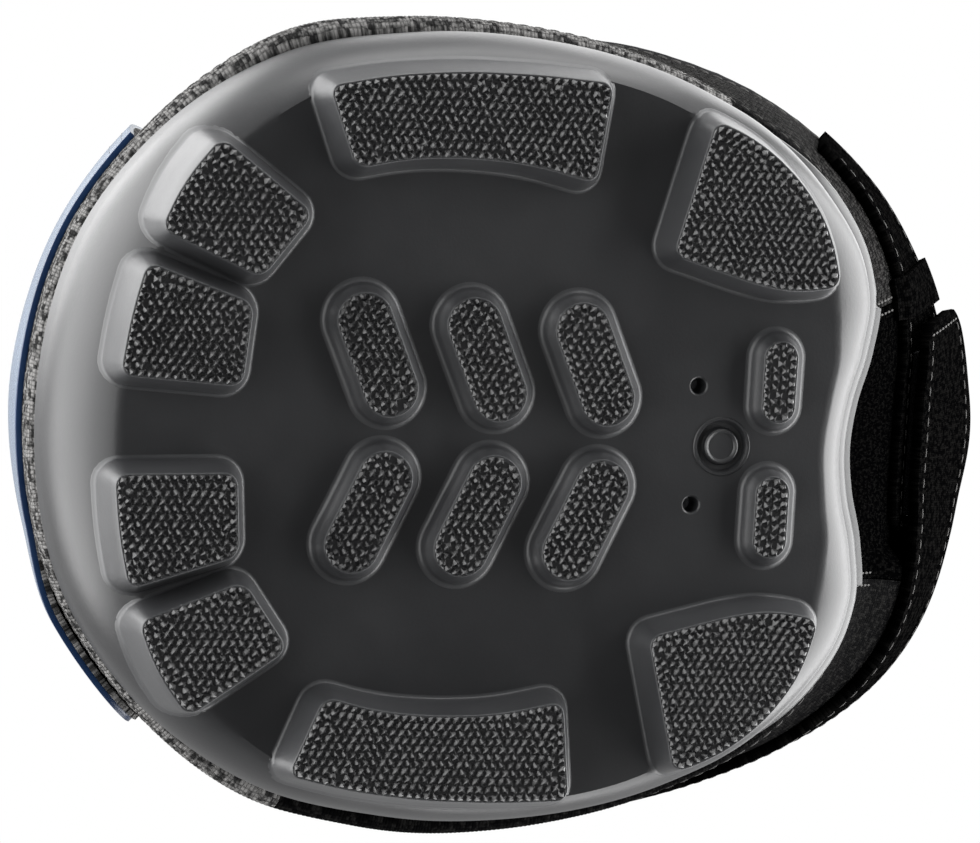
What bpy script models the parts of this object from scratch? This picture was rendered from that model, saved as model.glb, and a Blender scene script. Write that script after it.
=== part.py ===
"""Horse hoof boot: studded rubber sole with a low cup, woven upper, front flap, tongue and heel strap.

Metres, +Z up. The boot stands on its lugs, toe towards -Y, heel towards +Y.
Round the boot, places are counted in columns: 0 at the toe, HEEL_COLUMN at the heel,
positive along the +X side and negative along the -X side.
"""
import math

import bmesh
import bpy
from mathutils import Vector

# Gaps between neighbours
GAP = 0.0003
SEAT = 0.0003

# Sole outline and heights
RIM_HALF_WIDTH = 0.0770
RIM_TOE_REACH = 0.0825
RIM_HEEL_REACH = 0.0830
LUG_HEIGHT = 0.0080
PLATE_THICKNESS = 0.0060
RIM_HEIGHT = 0.0280
LIP_RISE = 0.0060
HEEL_DROP = 0.0080
CUP_WALL = 0.0032
FLOOR_INSET = 0.0065
FLOOR_RISE = 0.0060
TOE_BEVEL = 0.0120
SIDE_BEVEL = 0.0060
HEEL_BEVEL = 0.0100
HEEL_GROOVE = 0.0009
DRAIN_RADIUS = 0.0015
MARK_RADIUS = 0.0055
MARK_BUTTON_RADIUS = 0.0034
MARK_DEPTH = 0.0012

# Lugs
LUG_DRAFT = 0.0020
LUG_CORNER = 0.0024
LUG_SINK = 0.0030
BAR_HEIGHT = 0.0042
BAR_DRAFT = 0.0014
BAR_LENGTH = 0.0250
BAR_WIDTH = 0.0110
BAR_SPACING = 0.0215
BAR_FROM_AXIS = 0.0150
BAR_LEAN = math.radians(24)
HEEL_PAD_LENGTH = 0.0162
HEEL_PAD_WIDTH = 0.0070

# Upper
TOP_LEVEL = 0.0950
TOP_HALF_WIDTH = 0.0755
TOP_TOE_REACH = 0.0665
TOP_HEEL_REACH = 0.1275
TOP_LEAN = 0.0014
HEEL_BULGE = 0.0015
TOE_BULGE = 0.0038
STRAP_SWELL = 0.0055
SHELL_THICKNESS = 0.0018
SHELL_OVERHANG = 0.0006
TOE_DRAW_IN = 0.0035
SHELL_STEP_OUT = 0.0062
FRONT_TOP = 0.1100
HEEL_TOP = 0.0920
SIDE_DIP = 0.0040
STIFFENER_THICKNESS = 0.0010
TOE_STIFFENER_TOP = 0.0480
HEEL_COUNTER_TOP = 0.0680
LINING_THICKNESS = 0.0030
LINING_FRONT_TOP = 0.0440
TOE_PANEL_TOP = 0.0620
TAPE_HEIGHT = 0.0075
TAPE_THICKNESS = 0.0012
TAPE_OVERHANG = 0.0038

# Collar and tongue
COLLAR_HALF_WIDTH = 0.0042
COLLAR_HEIGHT = 0.0100
TONGUE_BASE = 0.0510
TONGUE_TOP = 0.1240
TONGUE_THICKNESS = 0.0026
TONGUE_CLEARANCE = 0.0006
TONGUE_CORNER = 0.0140
TONGUE_HINGE_DROP = 0.0030
PAD_MARGIN = 0.0070
PAD_CROWN = 0.0050
PAD_EDGE = 0.0012

# Insole
INSOLE_THICKNESS = 0.0050
INSOLE_CLEARANCE = 0.0004

# Front flap
FLAP_LOW = 0.0450
FLAP_HIGH = 0.0920
FLAP_TAPER = 0.0120
FLAP_THICKNESS = 0.0012
FACING_THICKNESS = 0.0008
FACING_MARGIN = 0.0006
FLAP_CORNER = 0.0080
HOOK_THICKNESS = 0.0005
LOOP_THICKNESS = 0.0006
TAPE_MARGIN = 0.0060

# Heel strap
STRAP_LOW = 0.0580
STRAP_HIGH = 0.0880
STRAP_THICKNESS = 0.0020
STRAP_LOOP_THICKNESS = 0.0010
STRAP_HOOK_THICKNESS = 0.0009
STRAP_CORNER = 0.0070
STRAP_TAPE_MARGIN = 0.0035
KEEPER_WIDTH = 0.0110
KEEPER_THICKNESS = 0.0011
KEEPER_OVERRUN = 0.0016
KEEPER_SLACK = 0.0010

# Outlines as shares of half width and of toe or heel reach, from toe to heel
RIM_SHARES = (
    (0, -0.987), (0.30, -0.953), (0.545, -0.854), (0.775, -0.665), (0.93, -0.42), (0.99, -0.15), (1, 0.08),
    (0.965, 0.34), (0.885, 0.56), (0.735, 0.80), (0.565, 0.94), (0.40, 0.995), (0.25, 0.985),
    (0.12, 0.955), (0, 0.943),
)
TOP_SHARES = (
    (0, -1), (0.295, -0.925), (0.535, -0.775), (0.735, -0.570), (0.895, -0.26), (0.975, 0.03), (1.01, 0.19),
    (1.01, 0.38), (0.94, 0.56), (0.825, 0.705), (0.655, 0.83), (0.46, 0.915), (0.28, 0.965),
    (0.12, 0.99), (0, 1),
)

# Lug face corners as shares of the rim's half width and toe reach
SIDE_LUG_SHARES = (
    (0.848, -0.425), (0.885, -0.27), (0.904, -0.10), (0.906, 0.08), (0.896, 0.250), (0.644, 0.222),
    (0.681, 0.07), (0.690, -0.08), (0.681, -0.22), (0.647, -0.350),
)
TOE_OUTER_LUG_SHARES = ((0.709, -0.665), (0.535, -0.440), (0.369, -0.554), (0.477, -0.794), (0.600, -0.745))
TOE_INNER_LUG_SHARES = ((0.400, -0.819), (0.310, -0.567), (0.104, -0.583), (0.119, -0.867), (0.268, -0.850))
HEEL_LUG_SHARES = (
    (0.821, 0.501), (0.780, 0.600), (0.713, 0.689), (0.630, 0.760), (0.540, 0.808), (0.421, 0.836),
    (0.400, 0.740), (0.410, 0.640), (0.477, 0.417),
)
HEEL_PAD_SHARES = (0.171, 0.715)
HEEL_RISE_SHARES = (0.30, 0.85)
TOP_LEAN_SHARES = (-0.50, 0.10)
TOE_DRAW_SHARES = (0.30, 0.85)
DRAIN_SHARES = (0.150, 0.529)
MARK_SHARE = 0.595

# Columns round the boot
COLUMNS = 84
COLUMNS_PER_POINT = 3
HEEL_COLUMN = 42
FRONT_EDGE = 4
HEEL_EDGE = 34
LINING_FRONT = 6
TONGUE_EDGE = 5.5
STIFFENER_EDGE = 7
COUNTER_EDGE = 36
TAPE_EDGE = 33
COLLAR_FRONT = 6
COLLAR_BACK = 33
FLAP_ROOT = 7.6
FLAP_END = -9
FLAP_LOOP_START = -10
FLAP_HOOK_START = -8.6
FLAP_HOOK_END = -6
FLAP_RAMP_END = -3
FLAP_TAPER_START = 2
STRAP_ROOT = 64
STRAP_END = 35.2
STRAP_RAMP_START = 59
STRAP_RAMP_END = 51
SWELL_COLUMN = 55.5
SWELL_COLUMNS = 10
BASE_ROOT = 27.7
BASE_END = 48
STRAP_TAPE_START = 36.5
STRAP_TAPE_END = 47
KEEPER_COLUMN = 33.9

# Resolution
BEVEL_ANGLES = (0, 22, 42, 62, 90)
CORNER_STEPS = 3
PAD_ROWS = 10
COLLAR_SIDES = 10
SMOOTH_ANGLE = math.radians(38)
BLUNT_ANGLE = math.radians(150)
CORNER_REACH_SHARE = 0.45
COLUMN_CLEARANCE = 0.2
COLLAR_END_SHARE = 0.06
COLLAR_END_POWER = 0.25
PAD_CROWN_POWER = 4

# Colours, roughness
RUBBER = ((0.045, 0.046, 0.048), 0.55)
BLACK_WEAVE = ((0.018, 0.018, 0.019), 0.90)
GREY_WEAVE = ((0.110, 0.108, 0.105), 0.92)
BLUE_WEAVE = ((0.090, 0.190, 0.330), 0.70)
FOAM = ((0.060, 0.062, 0.065), 0.95)
LINING_KNIT = ((0.035, 0.036, 0.040), 0.95)
BOARD = ((0.160, 0.150, 0.140), 0.60)
TAPE_BLACK = ((0.022, 0.022, 0.024), 0.85)


def remove_old_objects():
    for item in list(bpy.data.objects):
        bpy.data.objects.remove(item)


def material(name, look):
    colour, roughness = look
    result = bpy.data.materials.new(name)
    result.use_nodes = True
    shader = result.node_tree.nodes["Principled BSDF"]
    shader.inputs["Base Color"].default_value = (*colour, 1)
    shader.inputs["Roughness"].default_value = roughness
    shader.inputs["Metallic"].default_value = 0
    result.diffuse_color = (*colour, 1)
    return result


def share(value, start, end):
    """0 at start, 1 at end, smooth between."""
    part = min(max((value - start) / (end - start), 0), 1)
    return part * part * (3 - 2 * part)


def loop_point(shares, half_width, toe_reach, heel_reach, column):
    """Point of a closed smooth curve through the mirrored shares."""
    last = len(shares) - 1
    count = 2 * last

    def control(index):
        index %= count
        side = 1
        if index > last:
            index = count - index
            side = -1
        across, along = shares[index]
        reach = heel_reach if along > 0 else toe_reach
        return Vector((side * across * half_width, along * reach))

    place = column / COLUMNS_PER_POINT
    start = math.floor(place)
    step = place - start
    before, here, there, after = (control(start + shift) for shift in (-1, 0, 1, 2))
    bend = 2 * before - 5 * here + 4 * there - after
    twist = 3 * here - before - 3 * there + after
    return (2 * here + (there - before) * step + bend * step ** 2 + twist * step ** 3) / 2


def rim_point(column):
    return loop_point(RIM_SHARES, RIM_HALF_WIDTH, RIM_TOE_REACH, RIM_HEEL_REACH, column)


def top_point(column):
    """Like the rim, but leaning towards the strap's sewn side and fuller under the strap there."""
    place = loop_point(TOP_SHARES, TOP_HALF_WIDTH, TOP_TOE_REACH, TOP_HEEL_REACH, column)
    lean = TOP_LEAN * share(place.y / TOP_HEEL_REACH, *TOP_LEAN_SHARES)
    swell = STRAP_SWELL * share(-abs(column % COLUMNS - SWELL_COLUMN), -SWELL_COLUMNS, 0)
    return place + place.normalized() * swell - Vector((lean, 0))


def outward(curve, column):
    """Unit normal in plan, pointing out of the boot."""
    tangent = curve(column + 1) - curve(column - 1)
    return Vector((tangent.y, -tangent.x)).normalized()


def heel_share(column):
    """0 over the toe and sides, 1 round the heel."""
    return share(rim_point(column).y / RIM_HEEL_REACH, *HEEL_RISE_SHARES)


def toe_share(column):
    """1 round the toe, where the upper is drawn in over the rim, 0 along the sides and heel."""
    return share(-rim_point(column).y / RIM_TOE_REACH, *TOE_DRAW_SHARES)


def rim_height(column):
    return RIM_HEIGHT - HEEL_DROP * heel_share(column)


def lip_height(column):
    return rim_height(column) + LIP_RISE


def bevel_width(column):
    direction = outward(rim_point, column).y
    if direction < 0:
        return SIDE_BEVEL + (TOE_BEVEL - SIDE_BEVEL) * direction ** 2
    return SIDE_BEVEL + (HEEL_BEVEL - SIDE_BEVEL) * direction ** 2


def upper_base():
    return LUG_HEIGHT + PLATE_THICKNESS + FLOOR_RISE + 2 * SEAT


def shell_start(column):
    """Height where the shell has stepped out over the lip."""
    return lip_height(column) + SHELL_STEP_OUT + SEAT


def shell_place(column, height, depth, hang=False):
    """Point of the upper: depth 0 is the shell's inner face, positive is outwards."""
    start = shell_start(column)
    tucked = -(CUP_WALL + GAP + SHELL_THICKNESS)
    lip = lip_height(column) + SEAT
    out = 1 if hang else share(height, lip, start)
    overhang = SHELL_OVERHANG - TOE_DRAW_IN * toe_share(column)
    inset = tucked * (1 - out) + overhang * out
    low_normal = outward(rim_point, column)
    low = rim_point(column) + low_normal * inset
    low.x -= TOP_LEAN * out * share(low.y / RIM_HEEL_REACH, *TOP_LEAN_SHARES)
    rise = max((height - start) / (TOP_LEVEL - start), 0)
    top_normal = outward(top_point, column)
    blend = min(rise, 1)
    normal = (low_normal * (1 - blend) + top_normal * blend).normalized()
    fullness = HEEL_BULGE * heel_share(column) + TOE_BULGE * toe_share(column)
    bulge = fullness * math.sin(math.pi * blend)
    plan = low * (1 - rise) + top_point(column) * rise + normal * (depth + bulge)
    return Vector((plan.x, plan.y, height))


def top_height(column):
    """Falls from the front to the heel, with a slight dip along the sides."""
    along = (top_point(column).y + TOP_TOE_REACH) / (TOP_TOE_REACH + TOP_HEEL_REACH)
    straight = FRONT_TOP + (HEEL_TOP - FRONT_TOP) * along
    return straight - SIDE_DIP * math.sin(math.pi * along)


def column_length():
    """Mean distance between two columns along the rim."""
    points = [rim_point(column) for column in range(COLUMNS + 1)]
    return sum((there - here).length for here, there in zip(points, points[1:])) / COLUMNS


def spaced(start, end, round_end=0):
    """Columns from start to end on whole columns, closer together near a rounded end."""
    sign = 1 if end > start else -1
    result = [start]
    whole = math.floor(start * sign) + 1
    while whole < end * sign - COLUMN_CLEARANCE:
        if whole > start * sign + COLUMN_CLEARANCE:
            result.append(whole * sign)
        whole += 1
    if round_end:
        reach = round_end / column_length()
        limit = end * sign - reach - COLUMN_CLEARANCE
        result = [column for column in result if column * sign < limit]
        for turn in range(CORNER_STEPS):
            angle = math.pi / 2 * turn / CORNER_STEPS
            result.append(end - sign * reach * (1 - math.sin(angle)))
    result.append(end)
    return result


def narrowing(column, end, corner):
    """How far a strap's edge draws in at a column because of its rounded corner."""
    distance = abs(end - column) * column_length()
    if distance >= corner:
        return 0
    return corner - math.sqrt(max(corner ** 2 - (corner - distance) ** 2, 0))


def evenly(low, high, count):
    return [low + (high - low) * step / count for step in range(count + 1)]


def finish(name, mesh_data, look, origin=None):
    bmesh.ops.recalc_face_normals(mesh_data, faces=mesh_data.faces)
    mesh = bpy.data.meshes.new(name)
    mesh_data.to_mesh(mesh)
    mesh_data.free()
    mesh.shade_smooth()
    mesh.set_sharp_from_angle(angle=SMOOTH_ANGLE)
    mesh.materials.append(look)
    item = bpy.data.objects.new(name, mesh)
    bpy.context.scene.collection.objects.link(item)
    if origin is not None:
        for vertex in mesh.vertices:
            vertex.co -= origin
        item.location = origin
    return item


def skin(mesh_data, rings, closed):
    """Quads between neighbouring rows of vertices."""
    for lower, upper in zip(rings, rings[1:]):
        count = len(lower)
        for index in range(count if closed else count - 1):
            after = (index + 1) % count
            mesh_data.faces.new((lower[index], lower[after], upper[after], upper[index]))


def slab(name, columns, heights, inner, outer, look, closed=False, origin=None, hang=False):
    """A curved sheet of the upper between two depths, as one closed solid."""
    mesh_data = bmesh.new()
    faces = []
    for depth in (outer, inner):
        rows = []
        for column in columns:
            levels = heights(column)
            deep = depth(column) if callable(depth) else depth
            rows.append([mesh_data.verts.new(shell_place(column, z, deep, hang)) for z in levels])
        if closed:
            rows.append(rows[0])
        skin(mesh_data, rows, False)
        faces.append(rows)
    outer_rows, inner_rows = faces
    for edge in (0, -1):
        skin(mesh_data, [[row[edge] for row in outer_rows], [row[edge] for row in inner_rows]], False)
    if not closed:
        for end in (0, -1):
            skin(mesh_data, [outer_rows[end], inner_rows[end]], False)
    return finish(name, mesh_data, look, origin)


def sweep(name, columns, section, look):
    """A closed section carried along the columns, with flat ends."""
    mesh_data = bmesh.new()
    rings = []
    for position, column in enumerate(columns):
        points = section(column, position / (len(columns) - 1))
        rings.append([mesh_data.verts.new(point) for point in points])
    skin(mesh_data, rings, True)
    mesh_data.faces.new(rings[0])
    mesh_data.faces.new(rings[-1])
    return finish(name, mesh_data, look)


def rounded(points, radius):
    """Polygon with its corners replaced by arcs."""
    result = []
    count = len(points)
    for index, corner in enumerate(points):
        back = points[index - 1] - corner
        ahead = points[(index + 1) % count] - corner
        angle = back.angle(ahead)
        if angle > BLUNT_ANGLE:
            result.append(corner)
            continue
        limit = CORNER_REACH_SHARE * min(back.length, ahead.length)
        reach = min(radius / math.tan(angle / 2), limit)
        start = corner + back.normalized() * reach
        end = corner + ahead.normalized() * reach
        for step in range(CORNER_STEPS + 1):
            part = step / CORNER_STEPS
            result.append(start * (1 - part) ** 2 + corner * 2 * part * (1 - part) + end * part ** 2)
    return result


def widened(points, distance):
    """Outline pushed outwards by a distance."""
    result = []
    count = len(points)
    turn = sum(points[index - 1].cross(points[index]) for index in range(count))
    side = 1 if turn > 0 else -1
    for index, point in enumerate(points):
        tangent = (points[(index + 1) % count] - points[index - 1]).normalized()
        result.append(point + Vector((tangent.y, -tangent.x)) * distance * side)
    return result


def lug(mesh_data, outline, height, draft):
    """A drafted block that reaches from its tread face up into the plate."""
    base = widened(outline, draft)
    foot = LUG_HEIGHT - height
    levels = ((outline, foot), (base, LUG_HEIGHT), (base, LUG_HEIGHT + LUG_SINK))
    rings = [[mesh_data.verts.new((p.x, p.y, z)) for p in points] for points, z in levels]
    skin(mesh_data, rings, True)
    mesh_data.faces.new(rings[0])
    mesh_data.faces.new(rings[-1])


def stadium(centre, length, width, angle):
    """A bar with round ends, its length turned by an angle from the Y axis."""
    along = Vector((-math.sin(angle), math.cos(angle)))
    across = Vector((math.cos(angle), math.sin(angle)))
    points = []
    for end in (1, -1):
        middle = centre + along * end * (length - width) / 2
        for step in range(2 * CORNER_STEPS + 1):
            sweep_angle = math.pi * step / (2 * CORNER_STEPS)
            side = across * math.cos(sweep_angle) * end
            rise = along * math.sin(sweep_angle) * end
            points.append(middle + (side + rise) * width / 2)
    return points


def sole_places(shares):
    result = []
    for across, along in shares:
        result.append(Vector((across * RIM_HALF_WIDTH, along * RIM_TOE_REACH)))
    return result


def mirrored(points):
    return [Vector((-point.x, point.y)) for point in reversed(points)]


def make_lugs():
    mesh_data = bmesh.new()
    for shares in (SIDE_LUG_SHARES, TOE_OUTER_LUG_SHARES, TOE_INNER_LUG_SHARES, HEEL_LUG_SHARES):
        outline = rounded(sole_places(shares), LUG_CORNER)
        lug(mesh_data, outline, LUG_HEIGHT, LUG_DRAFT)
        lug(mesh_data, mirrored(outline), LUG_HEIGHT, LUG_DRAFT)
    pad = sole_places([HEEL_PAD_SHARES])[0]
    outline = stadium(pad, HEEL_PAD_LENGTH, HEEL_PAD_WIDTH, math.pi / 2)
    lug(mesh_data, outline, BAR_HEIGHT, BAR_DRAFT)
    lug(mesh_data, mirrored(outline), BAR_HEIGHT, BAR_DRAFT)
    for row in (-1, 0, 1):
        centre = Vector((BAR_FROM_AXIS, row * BAR_SPACING))
        outline = stadium(centre, BAR_LENGTH, BAR_WIDTH, math.pi / 2 - BAR_LEAN)
        lug(mesh_data, outline, BAR_HEIGHT, BAR_DRAFT)
        lug(mesh_data, mirrored(outline), BAR_HEIGHT, BAR_DRAFT)
    return mesh_data


def round_cutter(name, place, radius, low, high, look):
    mesh_data = bmesh.new()
    bmesh.ops.create_cone(
        mesh_data, cap_ends=True, segments=16, radius1=radius, radius2=radius, depth=high - low)
    bmesh.ops.translate(mesh_data, vec=(place.x, place.y, (low + high) / 2), verts=mesh_data.verts)
    cutter = finish(name, mesh_data, look)
    cutter.hide_render = True
    cutter.display_type = "WIRE"
    return cutter


def combine(target, tool, operation):
    modifier = target.modifiers.new(tool.name, "BOOLEAN")
    modifier.operation = operation
    modifier.object = tool
    modifier.solver = "EXACT"
    modifier.use_self = True


def make_outsole(look):
    plate_bottom = LUG_HEIGHT
    plate_top = LUG_HEIGHT + PLATE_THICKNESS
    rings = []
    for degrees in BEVEL_ANGLES:
        angle = math.radians(degrees)
        rings.append((
            lambda column, angle=angle: -bevel_width(column) * (1 - math.sin(angle)),
            lambda column, angle=angle: rim_height(column)
            - (rim_height(column) - plate_bottom) * math.cos(angle)))
    rings.append((
        lambda column: -HEEL_GROOVE * heel_share(column),
        lambda column: rim_height(column) + LIP_RISE / 2))
    rings.append((lambda column: 0, lip_height))
    rings.append((lambda column: -CUP_WALL, lip_height))
    rings.append((lambda column: -CUP_WALL, lambda column: plate_top + FLOOR_RISE))
    rings.append((lambda column: -FLOOR_INSET, lambda column: plate_top))
    mesh_data = bmesh.new()
    rows = []
    for offset, height in rings:
        row = []
        for column in range(COLUMNS):
            plan = rim_point(column) + outward(rim_point, column) * offset(column)
            row.append(mesh_data.verts.new((plan.x, plan.y, height(column))))
        rows.append(row)
    skin(mesh_data, rows, True)
    mesh_data.faces.new(rows[0])
    mesh_data.faces.new(rows[-1])
    sole = finish("outsole", mesh_data, look)
    lugs = finish("lug_blocks", make_lugs(), look)
    lugs.hide_render = True
    lugs.display_type = "WIRE"
    combine(sole, lugs, "UNION")
    low = LUG_HEIGHT - BAR_HEIGHT
    high = LUG_HEIGHT + PLATE_THICKNESS + LUG_SINK
    drain = sole_places([DRAIN_SHARES])[0]
    for side in (1, -1):
        place = Vector((side * drain.x, drain.y))
        combine(sole, round_cutter("drain_cutter", place, DRAIN_RADIUS, low, high, look), "DIFFERENCE")
    mark = Vector((0, MARK_SHARE * RIM_TOE_REACH))
    recess_top = LUG_HEIGHT + MARK_DEPTH
    combine(sole, round_cutter("mark_cutter", mark, MARK_RADIUS, low, recess_top, look), "DIFFERENCE")
    button_low = LUG_HEIGHT + MARK_DEPTH / 4
    button_high = recess_top + MARK_DEPTH
    button = round_cutter("mark_button", mark, MARK_BUTTON_RADIUS, button_low, button_high, look)
    combine(sole, button, "UNION")
    return sole


def make_insole(look):
    """Lies on the floor of the cup, inside the lining."""
    low = LUG_HEIGHT + PLATE_THICKNESS + SEAT
    upper_stack = SHELL_THICKNESS + STIFFENER_THICKNESS + LINING_THICKNESS + 2 * GAP
    inset = CUP_WALL + GAP + upper_stack + INSOLE_CLEARANCE
    mesh_data = bmesh.new()
    rows = []
    for height in (low, low + INSOLE_THICKNESS):
        row = []
        for column in range(0, COLUMNS, 2):
            plan = rim_point(column) - outward(rim_point, column) * inset
            row.append(mesh_data.verts.new((plan.x, plan.y, height)))
        rows.append(row)
    skin(mesh_data, rows, True)
    mesh_data.faces.new(rows[0])
    mesh_data.faces.new(rows[-1])
    return finish("insole_pad", mesh_data, look)


def shell_heights(top, count=6):
    """Rows of the shell: tucked in the cup, stepping out over the lip, then up to its top."""
    def heights(column):
        lip = lip_height(column) + SEAT
        start = shell_start(column)
        upper_edge = top(column)
        return [upper_base(), lip, (lip + start) / 2] + evenly(start, upper_edge, count)
    return heights


def seam():
    """Half the gap of a butt seam, in columns."""
    return GAP / 2 / column_length()


def make_shell(looks):
    woven = looks["woven"]
    right = spaced(FRONT_EDGE + seam(), HEEL_EDGE - seam())
    slab("quarter_right", right, shell_heights(top_height), 0, SHELL_THICKNESS, woven)
    left = [-column for column in right]
    slab("quarter_left", left, shell_heights(top_height), 0, SHELL_THICKNESS, woven)
    toe = spaced(-FRONT_EDGE + seam(), FRONT_EDGE - seam())
    slab("toe_panel", toe, shell_heights(lambda column: TOE_PANEL_TOP, 3), 0, SHELL_THICKNESS, woven)
    heel = spaced(HEEL_EDGE + seam(), 2 * HEEL_COLUMN - HEEL_EDGE - seam())
    slab("heel_panel", heel, shell_heights(top_height), 0, SHELL_THICKNESS, looks["black"])


def make_stiffeners(look):
    outer = -GAP
    inner = outer - STIFFENER_THICKNESS
    toe = spaced(-STIFFENER_EDGE, STIFFENER_EDGE)
    slab("toe_stiffener", toe, shell_heights(lambda column: TOE_STIFFENER_TOP, 2), inner, outer, look)
    heel = spaced(COUNTER_EDGE, 2 * HEEL_COLUMN - COUNTER_EDGE)
    slab("heel_counter", heel, shell_heights(lambda column: HEEL_COUNTER_TOP, 3), inner, outer, look)


def make_lining(look):
    outer = -(2 * GAP + STIFFENER_THICKNESS)
    inner = outer - LINING_THICKNESS

    def top(column):
        from_toe = min(column, COLUMNS - column)
        return LINING_FRONT_TOP if from_toe <= LINING_FRONT else top_height(column)

    return slab("lining", range(COLUMNS), shell_heights(top, 4), inner, outer, look, closed=True)


def make_edge_tape(look):
    inner = SHELL_THICKNESS + GAP

    def heights(column):
        start = shell_start(column) - TAPE_OVERHANG
        return [start, start + TAPE_OVERHANG, start + TAPE_HEIGHT]

    columns = spaced(-TAPE_EDGE, TAPE_EDGE)
    return slab("edge_tape", columns, heights, inner, inner + TAPE_THICKNESS, look, hang=True)


def make_collar(name, columns, look):
    middle = (SHELL_THICKNESS - 2 * GAP - STIFFENER_THICKNESS - LINING_THICKNESS) / 2

    def section(column, along):
        inner_share = min(max(along, COLLAR_END_SHARE), 1 - COLLAR_END_SHARE)
        full = math.sin(math.pi * inner_share) ** COLLAR_END_POWER
        base = top_height(column) + SEAT
        points = []
        for step in range(COLLAR_SIDES):
            angle = 2 * math.pi * (step + 0.5) / COLLAR_SIDES
            across = math.cos(angle) * COLLAR_HALF_WIDTH * full
            rise = COLLAR_HEIGHT / 2 * (math.sin(angle) + 1) * full
            points.append(shell_place(column, base + rise, middle + across))
        return points

    return sweep(name, columns, section, look)


def tongue_origin():
    """The tongue tips about a line across the boot, just below the lower corners of its sides."""
    corner = shell_place(TONGUE_EDGE, TONGUE_BASE, -TONGUE_CLEARANCE - TONGUE_THICKNESS)
    return Vector((0, corner.y, TONGUE_BASE - TONGUE_HINGE_DROP))


def make_tongue(looks):
    corner = TONGUE_CORNER
    columns = sorted(set(spaced(0, TONGUE_EDGE, corner) + spaced(0, -TONGUE_EDGE, corner)))

    def heights(column):
        edge = TONGUE_EDGE if column > 0 else -TONGUE_EDGE
        return evenly(TONGUE_BASE, TONGUE_TOP - narrowing(column, edge, corner), 9)

    outer = -TONGUE_CLEARANCE
    inner = outer - TONGUE_THICKNESS
    slab("tongue", columns, heights, inner, outer, looks["black"], origin=tongue_origin())


def make_tongue_pad(look):
    """Crowned cushion behind the tongue, thin at its edges."""
    outer = -(TONGUE_CLEARANCE + TONGUE_THICKNESS + GAP)
    half = TONGUE_EDGE - PAD_MARGIN / column_length()
    low = TONGUE_BASE + PAD_MARGIN
    high = TONGUE_TOP - PAD_MARGIN
    mesh_data = bmesh.new()
    columns = evenly(-half, half, PAD_ROWS)
    levels = evenly(low, high, PAD_ROWS)
    faces = []
    for crowned in (False, True):
        rows = []
        for column in columns:
            row = []
            for level in levels:
                across = 1 - (column / half) ** PAD_CROWN_POWER
                along = 1 - ((2 * level - low - high) / (high - low)) ** PAD_CROWN_POWER
                crown = PAD_CROWN * math.sqrt(max(across * along, 0))
                depth = outer - (PAD_EDGE + crown if crowned else 0)
                row.append(mesh_data.verts.new(shell_place(column, level, depth)))
            rows.append(row)
        skin(mesh_data, rows, False)
        faces.append(rows)
    front_rows, back_rows = faces
    for edge in (0, -1):
        skin(mesh_data, [[row[edge] for row in front_rows], [row[edge] for row in back_rows]], False)
        skin(mesh_data, [front_rows[edge], back_rows[edge]], False)
    return finish("tongue_pad", mesh_data, look, tongue_origin())


def flap_depth(column):
    """Inner face of the front flap: close to the shell, further out over its hook and loop tapes."""
    close = SHELL_THICKNESS + GAP
    over = close + LOOP_THICKNESS + HOOK_THICKNESS + 2 * GAP
    return close + (over - close) * share(-column, -FLAP_RAMP_END, -FLAP_HOOK_END - COLUMN_CLEARANCE)


def flap_high(column):
    """Top of the front flap, falling towards its free end."""
    return FLAP_HIGH - FLAP_TAPER * share(-column, -FLAP_TAPER_START, -FLAP_END)


def flap_origin():
    middle = (FLAP_LOW + FLAP_HIGH) / 2
    depth = flap_depth(FLAP_ROOT) + (FLAP_THICKNESS + GAP + FACING_THICKNESS) / 2
    return shell_place(FLAP_ROOT, middle, depth)


def make_front_flap(looks):
    origin = flap_origin()

    def heights(column):
        draw = narrowing(column, FLAP_END, FLAP_CORNER)
        return evenly(FLAP_LOW + draw, flap_high(column) - draw, 4)

    columns = spaced(FLAP_ROOT, FLAP_END, FLAP_CORNER)
    slab("front_flap", columns, heights, flap_depth,
         lambda column: flap_depth(column) + FLAP_THICKNESS, looks["grey"], origin=origin)
    facing_end = FLAP_END + FACING_MARGIN / column_length()
    facing_inner = FLAP_THICKNESS + GAP

    def facing_heights(column):
        draw = narrowing(column, facing_end, FLAP_CORNER) + FACING_MARGIN
        return evenly(FLAP_LOW + draw, flap_high(column) - draw, 4)

    slab("front_flap_facing", spaced(FLAP_ROOT, facing_end, FLAP_CORNER), facing_heights,
         lambda column: flap_depth(column) + facing_inner,
         lambda column: flap_depth(column) + facing_inner + FACING_THICKNESS, looks["blue"], origin=origin)
    loop_inner = SHELL_THICKNESS + GAP
    hook_inner = loop_inner + LOOP_THICKNESS + GAP

    def tape_heights(column):
        return evenly(FLAP_LOW + TAPE_MARGIN, flap_high(column) - TAPE_MARGIN, 3)

    slab("front_loop_tape", spaced(FLAP_HOOK_END, FLAP_LOOP_START), tape_heights, loop_inner,
         loop_inner + LOOP_THICKNESS, looks["tape"])
    slab("front_hook_tape", spaced(FLAP_HOOK_END, FLAP_HOOK_START), tape_heights, hook_inner,
         hook_inner + HOOK_THICKNESS, looks["tape"], origin=origin)


def strap_depth(column):
    """Inner face of the heel strap: close at its root, further out over the strap beneath."""
    close = SHELL_THICKNESS + GAP
    over = close + STRAP_THICKNESS + STRAP_LOOP_THICKNESS + STRAP_HOOK_THICKNESS + 3 * GAP
    return close + (over - close) * share(-column, -STRAP_RAMP_START, -STRAP_RAMP_END)


def strap_origin():
    middle = (STRAP_LOW + STRAP_HIGH) / 2
    return shell_place(STRAP_ROOT, middle, strap_depth(STRAP_ROOT) + STRAP_THICKNESS / 2)


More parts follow.
